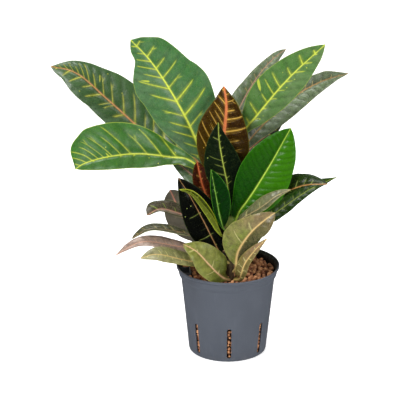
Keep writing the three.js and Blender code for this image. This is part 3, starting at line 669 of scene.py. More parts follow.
def cad_leaf(node, stem_points):
    """The foot, rings and tip of a CAD leaf, in millimetres. Each ring starts at the left margin."""
    shape = bmesh.new()
    shape.from_mesh(node.data)
    bmesh.ops.remove_doubles(shape, verts=shape.verts, dist=MERGE)
    shape.verts.index_update()
    poles = [v for v in shape.verts if len(v.link_edges) == RING]
    poles.sort(key=lambda v: np.linalg.norm(stem_points - np.array(v.co), axis=1).min())
    foot, tip = poles[0], poles[-1]
    rings, ring, seen = [], [foot], {foot}
    while True:
        ring = {e.other_vert(v) for v in ring for e in v.link_edges} - seen
        if len(ring) != RING:
            break
        seen |= ring
        ring = linked_ring(sorted(ring, key=lambda v: v.index))
        rings.append(ring)
    centres = [foot.co] + [sum((v.co for v in r), Vector()) / RING for r in rings] + [tip.co]
    for i, r in enumerate(rings):
        ahead = centres[i + 2] - centres[i]
        spokes = [v.co - centres[i + 1] for v in r]
        turn = sum((spokes[k].cross(spokes[k + 1 - RING]) for k in range(RING)), Vector())
        if turn.dot(ahead) < 0:
            r.reverse()
    foot, tip = (np.array(end.co) / MM for end in (foot, tip))
    points = np.array([[v.co for v in r] for r in align(rings)]) / MM
    shape.free()
    return foot, from_left_margin(points), tip


def align(rings):
    """Turns each ring so that its vertices follow on from those of the ring before."""
    best = None
    for later in (0, 1):
        turned, total = [rings[0]], 0.0
        for ring in rings[1:]:
            where = {v: k for k, v in enumerate(ring)}
            votes = [0] * RING
            for k, v in enumerate(turned[-1]):
                for other in (e.other_vert(v) for e in v.link_edges):
                    if other in where:
                        votes[(where[other] - k) % RING] += 1
            first = max(range(RING), key=lambda s: votes[s] + votes[(s + 1) % RING])
            shift = (first + later) % RING
            ring = ring[shift:] + ring[:shift]
            total += sum((a.co - b.co).length for a, b in zip(turned[-1], ring))
            turned.append(ring)
        if best is None or total < best[0]:
            best = total, turned
    return best[1]


def from_left_margin(points):
    """Rolls the rings so that vertex 0 is the left margin and vertex 2 the middle of the upper side."""
    half = RING // 2
    widths = points[WIDE_RINGS, :half] - points[WIDE_RINGS, half:]
    widest = np.argmax(np.linalg.norm(widths, axis=2).sum(0))
    points = np.roll(points, -int(widest), axis=1)
    beside = (np.roll(points, 1, axis=1) + np.roll(points, -1, axis=1)) / 2
    sag = np.linalg.norm((points - beside)[WIDE_RINGS], axis=2).sum(0)
    return points if sag[2] < sag[2 + half] else np.roll(points, -half, axis=1)


def leaf_sheet(node, stem_points):
    """A leaf's middle surface: stations along it, the rib, four columns beside it, and how flat it is."""
    foot, rings, tip = cad_leaf(node, stem_points)
    depth = np.linalg.norm(rings[:, 1] - rings[:, 7], axis=1) / 2
    flat = np.clip((CAD_FLANK - depth) / (CAD_FLANK - CAD_HALF), 0, 1)
    thick = np.linalg.norm(rings[:, 2] - rings[:, 6], axis=1)
    sink = ((CAD_STALK + (CAD_HALF - CAD_STALK) * flat) / thick)[:, None]
    rib = rings[:, 2] + (rings[:, 6] - rings[:, 2]) * sink
    columns = np.stack([
        rings[:, 0], (rings[:, 1] + rings[:, 7]) / 2, (rings[:, 3] + rings[:, 5]) / 2, rings[:, 4],
    ], axis=1)
    rib = np.concatenate([[foot], rib, [tip]])
    ahead = unit(rib[1] - rib[0])
    right = columns[0, 3] - columns[0, 0]
    right = unit(right - ahead * (right @ ahead)) * STALK_RADIUS
    start = right * np.array([-1, -QUARTER, QUARTER, 1])[:, None]
    beside = np.concatenate([[start], columns - rib[1:-1, None], np.zeros((1, 4, 3))])
    return along_line(rib), rib, beside, np.concatenate([[0], flat, [1]])


def spread(faces, crowding):
    """Places from -1 to 1 across a leaf, closer together at the midrib."""
    even = np.linspace(-1, 1, faces + 1)
    return even * (1 - crowding) + even ** 3 * crowding


def leaf_rows(length):
    """Places along a leaf, closer together at its two ends."""
    foot = -SUNK + FOOT * (1 - np.cos(np.linspace(0, math.pi / 2, 4)[:-1]))
    body = np.linspace(foot[-1] + 0.8, length - TIP, max(12, round((length - TIP) / ROW)))
    tip = length - TIP + TIP * np.sin(np.linspace(0, math.pi / 2, TIP_ROWS)[1:])
    return np.concatenate([foot, body, tip])


def vein_number(look, seed, across, x, y, share, side):
    """A number that is whole on each lateral vein, and grows by one from a vein to the next."""
    low, high = np.broadcast_to(look["lean"][side], 2)
    bent = y - x * (low + (high - low) * share) - look["hook"] * x * across ** 3
    if "at" in look:
        feet = np.array(look["at"][side], float)
        first, last = np.diff(feet)[[0, -1]]
        before, after = np.arange(MORE_VEINS, 0, -1), np.arange(1, MORE_VEINS)
        feet = np.concatenate([feet[0] - first * before, feet, feet[-1] + last * after])
        return np.interp(bent, feet, np.arange(len(feet)))
    number = bent / look["spacing"] - FIRST_VEIN[side]
    return number + 0.1 * np.sin(2.3 * number + seed + side) + 0.05 * np.sin(5.1 * number + 2 * seed)


def leaf_shape(node, look, seed, stem_points):
    """A leaf's points, row by row and round each row, with the two maps that its material reads."""
    stations, rib, beside, flatness = leaf_sheet(node, stem_points)
    length = stations[-1]
    y = leaf_rows(length)
    inside = np.clip(y, 0, length)
    middle = smooth_through(stations, rib, inside)
    middle += unit(rib[1] - rib[0]) * (y - inside)[:, None]
    reach = even_through(stations, np.linalg.norm(beside, axis=2), inside)
    if "outline" in look:
        knots, left, right = np.array(look["outline"], float).T
        halves = np.stack([left, left, right, right], axis=1)
        reach *= even_through(knots, halves, np.clip(inside, knots[0], knots[-1]))
    turned = unit(beside)
    turned[-1] = turned[-2]
    ways = unit(smooth_through(stations, turned, inside))
    flat = even_through(stations, flatness, inside)[:, None]

    upper = spread(TOP, CROWD_TOP)
    across = np.concatenate([upper, -spread(BELOW, CROWD_BELOW)[1:]])
    size = np.abs(across)
    # Through the midrib, the quarter and the margin of each half.
    at_quarter = size * (size - 1) / (QUARTER * (QUARTER - 1))
    at_margin = size * (size - QUARTER) / (1 - QUARTER)
    quarter, margin = np.where(across < 0, 1, 2), np.where(across < 0, 0, 3)
    outward = ways * reach[..., None]
    sheet = middle[:, None] + outward[:, quarter] * at_quarter[None, :, None]
    sheet += outward[:, margin] * at_margin[None, :, None]
    width = reach[:, margin]
    x = size[None, :] * width

    by_row = np.gradient(sheet[:, :TOP + 1], axis=0)
    by_column = np.gradient(sheet[:, :TOP + 1], upper, axis=1)
    face = unit(np.cross(by_column, by_row))
    under = np.arange(len(across)) > TOP
    up = face[:, [np.argmin(np.abs(upper - v)) for v in across]]

    share_along = (inside / length)[:, None]
    spots = size[None, :], x, y[:, None], share_along
    numbers = [vein_number(look, seed, *spots, side) for side in (0, 1)]
    number = np.where(across < 0, numbers[0], numbers[1])
    ends = smoothstep(0, 0.2, inside / length) * smoothstep(1, 0.85, inside / length)
    swell = np.sqrt(np.sin(np.pi * number) ** 2 + 0.03)
    swell *= smoothstep(0.04, 0.28, size) * smoothstep(1.0, 0.72, size) * flat
    turns = WAVES * math.tau * share_along
    sway = size ** 2 * np.sin(turns + seed * 1.7 + np.where(across < 0, 0, 1.9)) * look["wave"]
    sway *= ends[:, None] * flat
    uneven = np.sin(x * 0.31 + y[:, None] * 0.17 + seed) * np.sin(y[:, None] * 0.23 - x * 0.11)
    uneven *= UNEVEN * flat

    round_stalk = STALK_RADIUS * np.sqrt(np.clip(1 - size ** 2, 0, 1))
    blade = BLADE_HALF * np.sqrt(np.clip(1 - size ** 6, 0, 1)) * smoothstep(0, 1.6, width)
    thick = round_stalk * (1 - flat) + blade * flat
    # The keel under the midrib grows thinner towards the tip, and ends before it.
    keel = KEEL[0] + (KEEL[1] - KEEL[0]) * share_along
    keel = keel * (1 - np.clip(x / (keel * KEEL_WIDTH), 0, 1) ** 2) ** 1.5
    keel *= flat * smoothstep(length, length - KEEL_END, y)[:, None]
    groove = sum(height * np.exp(-((x / width) ** 2)) for height, width in GROOVE)
    groove *= flat * ends[:, None]
    # Nothing but the puff and the sway moves the margin, so the upper side and the underside meet.
    inner = size < 1
    lift = np.where(under, -thick - keel * inner, thick + groove * inner)
    lift += look["puff"] * swell * ends[:, None] + sway + uneven * inner
    # The two ends close to a point, rounded where the stalk goes into its shoot.
    from_foot = np.clip((y + SUNK) / FOOT, 0, 1)
    closing = np.sqrt(from_foot * (2 - from_foot))[:, None]
    foot = 1 + FOOT_SWELL * np.exp(-((y + SUNK) / 3) ** 2)[:, None]
    points = middle[:, None] + (sheet - middle[:, None]) * (closing * foot)[..., None]
    points += up * (lift * closing * foot)[..., None]
    points[0], points[-1] = middle[0], middle[-1]
    return points, across, x, y, numbers, length


def leaf_piece(node, name, look, seed, stem_points):
    """The finished mesh of a leaf: a grid, wrapped round the blade and closed at the seam and ends."""
    points, across, x, y, numbers, length = leaf_shape(node, look, seed, stem_points)
    rows, columns = len(y) - 1, len(across) - 1
    shape = bmesh.new()
    bmesh.ops.create_grid(shape, x_segments=columns, y_segments=rows, size=1)
    mesh = bpy.data.meshes.new(name)
    shape.to_mesh(mesh)
    place_of = np.empty(len(mesh.vertices) * 3)
    mesh.vertices.foreach_get("co", place_of)
    place_of = place_of.reshape(-1, 3)
    column = np.rint((place_of[:, 0] + 1) / 2 * columns).astype(int)
    row = np.rint((place_of[:, 1] + 1) / 2 * rows).astype(int)
    mesh.vertices.foreach_set("co", (points[row, column] * MM).ravel())

    corner = np.empty(len(mesh.loops), int)
    mesh.loops.foreach_get("vertex_index", corner)
    row, column = row[corner], column[corner]
    by_face = across[column].reshape(-1, 4).mean(1)
    side = np.repeat(by_face > 0, 4)
    below = np.repeat(column.reshape(-1, 4).min(1) >= TOP, 4)
    number = np.where(side, numbers[1][row, column], numbers[0][row, column])
    maps = {
        "plan": (np.where(side, 1, -1) * x[row, column], y[row]),
        "veins": (number + side * RIGHT, np.abs(across[column]) + below * UNDER),
    }
    for label, (u, v) in maps.items():
        layer = mesh.uv_layers.new(name=label)
        layer.data.foreach_set("uv", np.stack([u, v], 1).ravel())

    shape.clear()
    shape.from_mesh(mesh)
    bpy.data.meshes.remove(mesh)
    bmesh.ops.remove_doubles(shape, verts=shape.verts, dist=SEAM)
    bmesh.ops.dissolve_degenerate(shape, edges=shape.edges, dist=SEAM)
    piece = place(name, shape)
    soften(piece, 80)
    return piece, length


def build_leaves():
    slots = {part["node"]: part["material_slot"] for part in frame["record"]["subparts"]}
    stem_points = np.array([v.co for v in frame["nodes"]["stem"].data.vertices])
    for seed, (name, row) in enumerate(LEAVES.items(), start=1):
        kind, node_name = row["kind"], "leaf_" + name
        look = {**SHAPED, **COLOURED, **colours_of(kind), **(DARK if kind in DARK_KINDS else {}), **row}
        piece, length = leaf_piece(frame["nodes"][node_name], name + "_leaf", look, seed, stem_points)
        look.update(length=length, stalk_length=0.1 * length, seed=float(seed))
        finish = finish_of("leaf_finish_" + name, LEAF_COLOURING, leaf_values(look),
                           Specular_IOR_Level=look["shine"])
        hand_over(piece, finish, slots[node_name], node_name)


build_leaves()

# --------------------------------------------------------------------------------------------- pot

POT_FACETS = 180
POT_HEIGHT, POT_FLOOR, POT_WALL = 114.0, 2.0, 1.4
BASE_RADIUS, WALL_TOP_RADIUS, COLLAR_RADIUS, LIP_RADIUS = 49.2, 59.0, 62.0, 65.0
BASE_EDGE, COLLAR_BOTTOM, LIP_BOTTOM = 2.0, 97.0, 108.0
COLLAR_BORE, WALL_BORE = COLLAR_RADIUS - POT_WALL, WALL_TOP_RADIUS - POT_WALL
SLOT_STEP = 49.5  # degrees
SLOTS = [-138.1 + SLOT_STEP * i for i in range(7)]  # the wider space holds the gauge shaft
SLOT_WIDTH, SLOT_HEIGHT, SLOT_BOTTOM = 5.6, 42.0, 5.0
SLOT_REACH = 9.0  # how far inside the wall's surface the slot's cut starts
DRAIN_WIDTH, DRAIN_LENGTH, DRAIN_RADIUS = 3.0, 13.0, 31.0
SHAFT_AZIMUTH, SHAFT_WIDTH, SHAFT_DEPTH, SHAFT_WALL, SHAFT_TOP = 184.0, 19.0, 10.0, 1.2, 106.5


def wall_radius(height):
    """The radius of the outside of the pot's tapering wall."""
    share = (height - BASE_EDGE) / (COLLAR_BOTTOM - BASE_EDGE)
    return BASE_RADIUS + (WALL_TOP_RADIUS - BASE_RADIUS) * share


def turned(name, profile, facets=POT_FACETS):
    """A solid of revolution about the pot's axis, from (radius, height) in millimetres."""
    shape = bmesh.new()
    points = [shape.verts.new((r * MM, 0, z * MM)) for r, z in profile]
    edges = [shape.edges.new(pair) for pair in zip(points, points[1:])]
    bmesh.ops.spin(shape, geom=points + edges, cent=(0, 0, 0), axis=(0, 0, 1), dvec=(0, 0, 0),
                   angle=2 * math.pi, steps=facets, use_merge=True, use_duplicate=False)
    bmesh.ops.remove_doubles(shape, verts=shape.verts, dist=AXIS)
    bmesh.ops.recalc_face_normals(shape, faces=shape.faces)
    return place(name, shape)


def slot_bar(name, start, end, width, height, bottom):
    """A bar along X with round ends above and below, in millimetres."""
    shape = bmesh.new()
    bmesh.ops.create_circle(shape, segments=24, radius=width / 2 * MM, cap_ends=True)
    on_edge = Matrix.Rotation(math.pi / 2, 3, "Y")
    bmesh.ops.rotate(shape, verts=shape.verts, cent=(0, 0, 0), matrix=on_edge)
    for v in shape.verts:
        rise = height - width / 2 if v.co.z > 0 else width / 2
        v.co += Vector((start, 0, bottom + rise)) * MM
    grown = bmesh.ops.extrude_face_region(shape, geom=shape.faces[:])["geom"]
    far = [v for v in grown if isinstance(v, bmesh.types.BMVert)]
    bmesh.ops.translate(shape, verts=far, vec=((end - start) * MM, 0, 0))
    bmesh.ops.recalc_face_normals(shape, faces=shape.faces)
    return place(name, shape)


def turn(piece, degrees, move=(0, 0, 0), axis="Z"):
    """Moves a piece's mesh and turns it about an axis of the frame."""
    matrix = Matrix.Rotation(math.radians(degrees), 4, axis) @ Matrix.Translation(Vector(move) * MM)
    piece.data.transform(matrix)
    return piece


def shaft_box(name, margin, bottom, top):
    """The gauge shaft's space, grown by a margin. Its inner side leans with the wall."""
    shape = bmesh.new()
    bmesh.ops.create_cube(shape, size=1)
    for v in shape.verts:
        height = top if v.co.z > 0 else bottom
        inner = wall_radius(height) - POT_WALL - SHAFT_DEPTH - margin
        reach = LIP_RADIUS if v.co.x > 0 else inner
        v.co = Vector((reach, math.copysign(SHAFT_WIDTH / 2 + margin, v.co.y), height)) * MM
    return turn(place(name, shape), SHAFT_AZIMUTH)


def pot_shell():
    """The pot without its slots and shaft: its profile from the middle of the foot round to the floor."""
    foot = [
        (0, 0), (BASE_RADIUS - BASE_EDGE, 0), (BASE_RADIUS - 0.9, 0.25), (BASE_RADIUS - 0.25, 0.9),
        (BASE_RADIUS, BASE_EDGE),
    ]
    outside = [
        (WALL_TOP_RADIUS, COLLAR_BOTTOM), (WALL_TOP_RADIUS + 0.5, COLLAR_BOTTOM + 1.5),
        (WALL_TOP_RADIUS + 1.6, COLLAR_BOTTOM + 3.2), (COLLAR_RADIUS - 0.4, COLLAR_BOTTOM + 4.8),
        (COLLAR_RADIUS, COLLAR_BOTTOM + 6.5), (COLLAR_RADIUS + 0.2, LIP_BOTTOM),
        (COLLAR_RADIUS + 0.7, LIP_BOTTOM + 1.2), (LIP_RADIUS - 0.9, LIP_BOTTOM + 2.4),
        (LIP_RADIUS - 0.1, LIP_BOTTOM + 3.3), (LIP_RADIUS, LIP_BOTTOM + 4),
        (LIP_RADIUS, POT_HEIGHT - 1), (LIP_RADIUS - 0.25, POT_HEIGHT - 0.35),
    ]
    rim = [
        (LIP_RADIUS - 0.8, POT_HEIGHT), (LIP_RADIUS - 1.4, POT_HEIGHT - 0.2),
        (LIP_RADIUS - 1.8, POT_HEIGHT - 0.8),
    ]
    inside = [
        (COLLAR_BORE, LIP_BOTTOM + 2), (COLLAR_BORE, COLLAR_BOTTOM + 6.9),
        (COLLAR_BORE - 0.4, COLLAR_BOTTOM + 5.3), (WALL_BORE + 1.6, COLLAR_BOTTOM + 3.7),
        (WALL_BORE + 0.5, COLLAR_BOTTOM + 1.9), (WALL_BORE, COLLAR_BOTTOM + 0.3),
        (wall_radius(POT_FLOOR + 1.2) - POT_WALL, POT_FLOOR + 1.2),
        (wall_radius(POT_FLOOR) - POT_WALL - 1.2, POT_FLOOR), (0, POT_FLOOR),
    ]
    return turned("pot_shell", foot + outside + rim + inside)


def build_pot():
    pot = pot_shell()
    sunk = POT_WALL / 3
    hollow = turned("hollow", [
        (0, POT_FLOOR / 2), (wall_radius(POT_FLOOR) - POT_WALL + sunk, POT_FLOOR / 2),
        (WALL_BORE + sunk, COLLAR_BOTTOM), (COLLAR_BORE + sunk, COLLAR_BOTTOM + 6.5),
        (COLLAR_BORE + sunk, SHAFT_TOP), (0, SHAFT_TOP),
    ], facets=90)
    partition = shaft_box("partition", SHAFT_WALL, POT_FLOOR / 2, SHAFT_TOP)
    combine(partition, shaft_box("shaft", 0, POT_FLOOR, POT_HEIGHT), "DIFFERENCE")
    combine(partition, hollow, "INTERSECT")
    combine(pot, partition, "UNION")
    surface = wall_radius(SLOT_BOTTOM + SLOT_HEIGHT / 2)
    for azimuth in SLOTS:
        bar = slot_bar("slot", surface - SLOT_REACH, LIP_RADIUS, SLOT_WIDTH, SLOT_HEIGHT, SLOT_BOTTOM)
        combine(pot, turn(bar, azimuth), "DIFFERENCE")
    for azimuth in SLOTS[:-1]:
        bar = slot_bar("drain", -POT_FLOOR, 2 * POT_FLOOR, DRAIN_WIDTH, DRAIN_LENGTH, 0)
        turn(bar, -90, axis="Y")
        turn(bar, azimuth + SLOT_STEP / 2, move=(DRAIN_RADIUS + DRAIN_LENGTH / 2, 0, 0))
        combine(pot, bar, "DIFFERENCE")
    merge_close(pot)
    pot.name = "grow_pot"
    soften(pot, 28)
    return pot


def moulded_plastic():
    """Matt moulded plastic: fine grain, faint upright scuffs, dust on level places, painted shade inside.
    """
    g, given = new_group("moulded_plastic", {
        "Base": linear("4f5560"), "Worn": linear("686e7a"), "Dust": linear("8f877c"), "Dusty": 0.4,
        "Inside": linear("0d120b"),
    })
    at = g.node("TexCoord", {}, "Object")
    x, y, z = g.split(at)
    facing = g.split(g.node("NewGeometry", {}, "Normal"))
    grain = g.noise(at, 2600.0)
    cloud = g.step(g.noise(at, 28.0, 4.0, 0.6), 0.35, 0.7)
    streak = g.step(g.noise(g.join(x, y, z * 0.09), 420.0, 3.0), 0.56, 0.74)
    dust = g.step(facing[2], 0.25, 0.95) * g.step(g.noise(at, 300.0, 4.0), 0.35, 0.65) * given["Dusty"]
    low = g.fall(z, 0.0, 0.02) * g.step(g.noise(at, 140.0, 4.0), 0.45, 0.75) * given["Dusty"]
    colour = g.tint(cloud * 0.16 + streak * 0.2, given["Base"], given["Worn"])
    colour = g.tint(g.step(grain, 0.3, 0.7) * 0.12, colour, given["Worn"])
    colour = g.tint(g.clamp(dust * 0.6 + low * 0.25), colour, given["Dust"])
    # Painted shade: the faces that look in towards the axis turn a blotchy, near-black green.
    inner = g.fall(facing[0] * x + facing[1] * y, -0.03, -0.01)
    inside_shade = g.tint(g.step(g.noise(at, 180.0, 4.0), 0.45, 0.8, 0.0, 0.6), given["Inside"], given["Base"])
    rough = (grain - 0.5) * 0.12 + (dust * 0.3 + streak * 0.08) + 0.52
    return g.put_out(g.tint(inner, colour, inside_shade), g.clamp(rough), grain * 0.05 + streak * 0.01)


hand_over(build_pot(), finish_of("pot_plastic", moulded_plastic(), {}), "pot", "pot")

# -------------------------------------------------------------------------------------------- stem

SHOOTS = (  # what each shoot's axis runs through, and its radius at the foot and at the crown
    (((0, -19, 52), (1, -21, 99), (1, -14, 160), (-4, -6, 205), (-8, -2, 241)), (5.4, 3.4)),
    (((1, -20, 78), (4, -34, 104), (3, -37, 140), (-1, -37, 178)), (3.6, 2.4)),
)
ROOTS, ROOT_START, ROOT_REACH, ROOT_DROP, ROOT_RADII = 6, 4, 24, 36, (2.4, 1)
SCAR, FURROW = 0.32, 0.07  # how high the leaf scars and the furrows of the bark stand
BARK_FROM = (96, 104)  # they fade out between these heights, down in the granules
VOXEL = 0.75  # the cells in which shoots and roots grow together into one skin


def limb(shape, through, radii, around=20):
    """Adds a round tapering limb with rounded ends to a bmesh."""
    through = np.array(through, float)
    knots = along_line(through)
    length = knots[-1]
    rows = max(8, round(length / 2))
    at = length * (1 - np.cos(np.linspace(0, math.pi, rows + 1))) / 2
    axis = smooth_through(knots, through, at)
    ahead = unit(np.gradient(axis, axis=0))
    beside = unit(np.cross(ahead, [0.31, 0.9, 0.27]))
    other = np.cross(ahead, beside)
    radius = radii[0] + (radii[1] - radii[0]) * at / length
    ends = np.minimum(at, length - at) / radius
    radius = radius * np.sqrt(np.clip(ends * (2 - ends), 0, 1) * (ends < 1) + (ends >= 1))
    made = bmesh.ops.create_grid(shape, x_segments=around, y_segments=rows, size=1)["verts"]
    for v in made:
        angle = -math.pi * (v.co.x + 1)
        row = round((v.co.y + 1) / 2 * rows)
        spoke = beside[row] * math.cos(angle) + other[row] * math.sin(angle)
        v.co = Vector((axis[row] + spoke * radius[row]) * MM)
    bmesh.ops.remove_doubles(shape, verts=made, dist=SEAM)


def build_stem():
    shape = bmesh.new()
    for through, radii in SHOOTS:
        limb(shape, through, radii)
    foot = np.array(SHOOTS[0][0][0], float)
    for number in range(ROOTS):
        angle = 2 * math.pi * (number + 0.5) / ROOTS
        way = np.array([math.cos(angle), math.sin(angle)]) * ROOT_REACH
        path = [
            foot + [way[0] * out, way[1] * out, ROOT_START - ROOT_DROP * drop]
            for out, drop in ((0, 0), (0.45, 0.1), (0.85, 0.45), (1, 1))
        ]
        limb(shape, path, ROOT_RADII, around=12)
    bmesh.ops.recalc_face_normals(shape, faces=shape.faces)
    stem = place("woody_stem", shape)
    grown = stem.modifiers.new("grown_together", "REMESH")
    grown.mode, grown.voxel_size = "VOXEL", VOXEL * MM
    settle(stem)
    # Leaf scars ring the shoots every few millimetres, and the bark is furrowed a little.
    count = len(stem.data.vertices)
    co = np.empty(count * 3)
    normal = np.empty(count * 3)
    stem.data.vertices.foreach_get("co", co)
    stem.data.vertex_normals.foreach_get("vector", normal)
    co, normal = co.reshape(-1, 3) / MM, normal.reshape(-1, 3)
    round_it, height = np.arctan2(normal[:, 1], normal[:, 0]), co[:, 2]
    scar = np.exp(-(np.sin(height * 0.38 + 0.7 * np.sin(round_it + height * 0.05)) / 0.3) ** 2)
    furrow = np.sin(round_it * 9 + np.sin(height * 0.21) * 2)
    lift = (SCAR * scar + FURROW * furrow) * smoothstep(*BARK_FROM, height)
    stem.data.vertices.foreach_set("co", ((co + normal * lift[:, None]) * MM).ravel())
    soften(stem, 80)
    return stem


def bark():
    """Woody below, with pale leaf scars and lenticels, and green where the shoots are young."""
    g, given = new_group("bark", {
        "Wood": linear("3a2c16"), "Scar": linear("6b5636"), "Green": linear("2c3410"),
    })
    at = g.node("TexCoord", {}, "Object")
    x, y, z = g.split(at)
    fibre = g.noise(g.join(x, y, z * 0.3), 900.0, 4.0, 0.6)
    spot = g.fall(g.cells(at, 420.0), 0.12, 0.24)
    age = g.clamp(g.step(z, 0.12, 0.2) + (g.noise(at, 70.0, 3.0) - 0.5) * 0.8)
    colour = g.tint(age, given["Wood"], given["Green"])
    colour = g.tint(g.step(fibre, 0.4, 0.7, 0.0, 0.5), colour, given["Scar"])
    colour = g.tint(spot * 0.6, colour, given["Scar"])
    return g.put_out(colour, g.blend(fibre, 0.65, 0.9), fibre * 0.25 + spot * 0.12)


hand_over(build_stem(), finish_of("stem_bark", bark(), {}), "stem", "stem")

# ---------------------------------------------------------------------------------------- granules

BED_TOP, BED_CROWN = 103.5, 1.5
BED_LOOSE = 2.2  # how far the loose top layer stands over the bed
GRANULE = (2.4, 3.4)  # smallest and largest radius
LAYERS = ((0.6, 5200), (-3.4, 2600))  # height of each layer, and how many granules try to lie in it
STEM_FEET = (((0.9, -20.9), 4.6), ((3.4, -32.5), 3.4))  # place and radius of each shoot in the bed
IN_SLOT, BEHIND_SLOT = 60, 400  # how many granules try to lie in a slot, and behind it
APART, APART_AT_SLOT = 0.95, 0.86  # the least distance between two, over the sum of their radii
CORE_INSET, CORE_DROP = 3.2, 3.4  # how far the core is drawn in from the wall, and down from the top
CORE_MIDDLE, CORE_TOP = 38, 8  # it is left as it is within this radius, and this far below the top


def clay_lump():
    """A rounded lump of a few dozen faces, with a radius of one."""
    shape = bmesh.new()
    bmesh.ops.create_cube(shape, size=2)
    bmesh.ops.subdivide_edges(shape, edges=shape.edges, cuts=1, use_grid_fill=True)
    for v in shape.verts:
        v.co = v.co.normalized()
    mesh = bpy.data.meshes.new("lump")
    shape.to_mesh(mesh)
    shape.free()
    return mesh


def in_shaft(x, y, z, margin):
    """Whether a point lies in the gauge shaft, or within a margin of it."""
    angle = math.radians(SHAFT_AZIMUTH)
    out = x * math.cos(angle) + y * math.sin(angle)
    aside = abs(-x * math.sin(angle) + y * math.cos(angle))
    inner = wall_radius(min(z, COLLAR_BOTTOM)) - POT_WALL - SHAFT_DEPTH - SHAFT_WALL
    return out > inner - margin and aside < SHAFT_WIDTH / 2 + SHAFT_WALL + margin


def granule_places(draw):
    """Where the granules lie, in millimetres: two layers on top, and a column behind each slot."""
    places = []

    def settle_one(x, y, z, radius, apart):
        for *other, other_radius in places:
            if math.dist((x, y, z), other) < (radius + other_radius) * apart:
                return
        places.append((x, y, z, radius))

    for level, tries in LAYERS:
        for _ in range(tries):
            radius = draw.uniform(*GRANULE)
            bore = COLLAR_BORE if level > 0 else WALL_BORE
            out = (bore - 0.3 - radius) * math.sqrt(draw.random())
            angle = draw.uniform(0, 2 * math.pi)
            x, y = out * math.cos(angle), out * math.sin(angle)
            heap = BED_CROWN * (1 - (out / COLLAR_BORE) ** 2)
            z = BED_TOP + BED_LOOSE + heap + level - radius + draw.uniform(-0.9, 0.9)
            near = min(math.dist((x, y), foot) - thick for foot, thick in STEM_FEET)
            if near > radius * 0.6 and not in_shaft(x, y, z, radius + 0.2):
                settle_one(x, y, z, radius, APART)
    for azimuth in SLOTS:
        way = math.radians(azimuth)
        for number in range(IN_SLOT + BEHIND_SLOT):
            in_slot = number < IN_SLOT
            radius = draw.uniform(1.5, 2.4) if in_slot else draw.uniform(1.8, 2.8)
            z = draw.uniform(POT_FLOOR + radius + 0.5, SLOT_BOTTOM + SLOT_HEIGHT + 3)
            if in_slot:
                z = draw.uniform(SLOT_BOTTOM + radius, SLOT_BOTTOM + SLOT_HEIGHT - radius)
            depth = draw.uniform(0.2, 0.9) if in_slot else POT_WALL + draw.uniform(0.1, 2.2)
            out = wall_radius(z) - depth - radius
            aside = draw.uniform(-1, 1) * (SLOT_WIDTH / 2 - radius if in_slot else 4.5)
            x = out * math.cos(way) - aside * math.sin(way)
            y = out * math.sin(way) + aside * math.cos(way)
            if not in_shaft(x, y, z, radius + 0.2):
                settle_one(x, y, z, radius, APART_AT_SLOT)
    return places


def build_granules():
    draw = random.Random(11)
    lump = clay_lump()
    count = len(lump.vertices)
    shape = bmesh.new()
    tint = shape.verts.layers.float.new("tint")
    for x, y, z, radius in granule_places(draw):
        shape.from_mesh(lump)
        shape.verts.ensure_lookup_table()
        shade = draw.random()
        size = Vector([radius * draw.uniform(0.82, 1.16) for _ in range(3)])
        spin = Matrix.Rotation(draw.uniform(0, 6.28), 3, Vector([draw.uniform(-1, 1) for _ in range(3)]))
        for v in shape.verts[-count:]:
            v.co = (spin @ (v.co * size) * draw.uniform(0.86, 1.1) + Vector((x, y, z))) * MM
            v[tint] = shade
    bpy.data.meshes.remove(lump)
    piece = place("clay_granules", shape)
    soften(piece, 80)
    return piece


def build_core():
    """The body of the bed under its top layer, in the dark between the granules."""
    shape = bmesh.new()
    shape.from_mesh(frame["nodes"]["granule_bed"].data)
    bmesh.ops.remove_doubles(shape, verts=shape.verts, dist=MERGE)
    for v in shape.verts:
        x, y, z = v.co / MM
        out = math.hypot(x, y)
        if out > CORE_MIDDLE:
            x, y = x * (out - CORE_INSET) / out, y * (out - CORE_INSET) / out
        z = max(z, POT_FLOOR + 0.3)
        if z > BED_TOP - CORE_TOP:
            z -= CORE_DROP
        v.co = Vector((x, y, z)) * MM
    bmesh.ops.recalc_face_normals(shape, faces=shape.faces)
    piece = place("granule_core", shape)
    soften(piece, 40)
    return piece


def fired_clay():
    """Fired clay: each granule its own red-brown, with a paler crust and small pits."""
    g, given = new_group("fired_clay", {
        "Clay": linear("b86c40"), "Pale": linear("f4b884"), "Dark": linear("54261a"), "Depth": 0.0,
    })
    at = g.node("TexCoord", {}, "Object")
    own = g.node("Attribute", {}, "Fac", attribute_name="tint")
    crust = g.noise(at, 420.0, 4.0, 0.65)
    pits = g.fall(g.cells(at, 900.0), 0.1, 0.3)
    colour = g.tint(own, given["Dark"], given["Pale"])
    colour = g.tint(0.3, colour, given["Clay"])
    colour = g.tint(g.step(crust, 0.45, 0.75, 0.0, 0.55), colour, given["Pale"])
    colour = g.tint(pits * 0.5, colour, given["Dark"])
    # Painted shade: the core, which lies in the dark between the granules, is darkened towards near-black.
    colour = g.tint(given["Depth"], colour, linear("1c0c08"))
    return g.put_out(colour, g.blend(crust, 0.75, 0.95), crust * 0.5 - pits * 0.25)


CLAY = fired_clay()
hand_over(build_granules(), finish_of("granule_clay", CLAY, {}), "granules", "granule_bed")
hand_over(build_core(), finish_of("granule_shade", CLAY, {"Depth": 0.85}), "granules")

# ------------------------------------------------------------------------- floor, light and camera


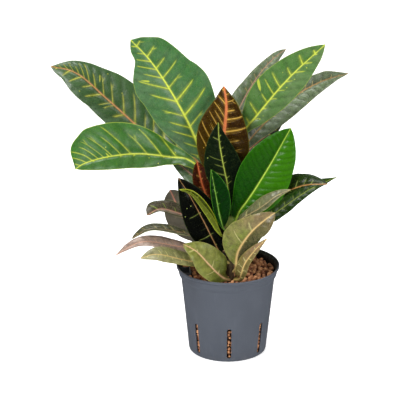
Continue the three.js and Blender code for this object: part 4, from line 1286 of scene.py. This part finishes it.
def softbox(name, at, towards, size, power):
    """A large area light that looks at a point."""
    lamp = bpy.data.lights.new(name, "AREA")
    lamp.shape, lamp.size, lamp.size_y, lamp.energy = "RECTANGLE", size[0], size[1], power
    light = bpy.data.objects.new(name, lamp)
    light.location = at
    light.rotation_euler = (Vector(towards) - Vector(at)).to_track_quat("-Z", "Y").to_euler()
    bpy.context.scene.collection.objects.link(light)


def paper():
    """The pale floor: very even, with a trace of tooth."""
    g, given = new_group("paper", {"Base": linear("f7f7f7"), "Shade": linear("f3f3f3")})
    at = g.node("TexCoord", {}, "Object")
    colour = g.tint(g.noise(at, 40.0, 3.0), given["Base"], given["Shade"])
    return g.put_out(colour, g.blend(g.noise(at, 900.0), 0.8, 0.9), g.noise(at, 1500.0) * 0.02)


def build_studio():
    shape = bmesh.new()
    bmesh.ops.create_circle(shape, cap_ends=True, segments=64, radius=30)
    floor = place("studio_floor", shape)
    glow = dict(Emission_Color=linear("ffffff"), Emission_Strength=0.5)
    floor.data.materials.append(finish_of("studio_paper", paper(), {}, **glow))
    floor.visible_glossy = False  # so that no bright paper shows in the gloss of the leaves

    softbox("key", (-1.2, -1.3, 1.9), (0, 0, 0.2), (1.0, 0.8), 44)
    softbox("fill", (1.6, -1.2, 1.1), (0, 0, 0.2), (0.7, 1.0), 14)
    softbox("top", (0.1, 0.7, 1.9), (0, 0, 0.25), (1.6, 1.0), 40)

    world = bpy.data.worlds.new("studio_world")
    world.use_nodes = True
    sky = world.node_tree.nodes["Background"]
    sky.inputs["Color"].default_value = linear("ffffff")
    sky.inputs["Strength"].default_value = 0.12
    scene = bpy.context.scene
    scene.world = world
    scene.view_settings.view_transform = "Standard"

    eye = bpy.data.cameras.new("camera")
    eye.lens, eye.sensor_width, eye.clip_start, eye.clip_end = 169.02, 36.0, 0.1, 100
    camera = bpy.data.objects.new("camera", eye)
    camera.location = (-0.0352, -2.2, 1.0)
    camera.rotation_euler = (math.radians(70), 0, 0)
    scene.collection.objects.link(camera)
    scene.camera = camera


build_studio()
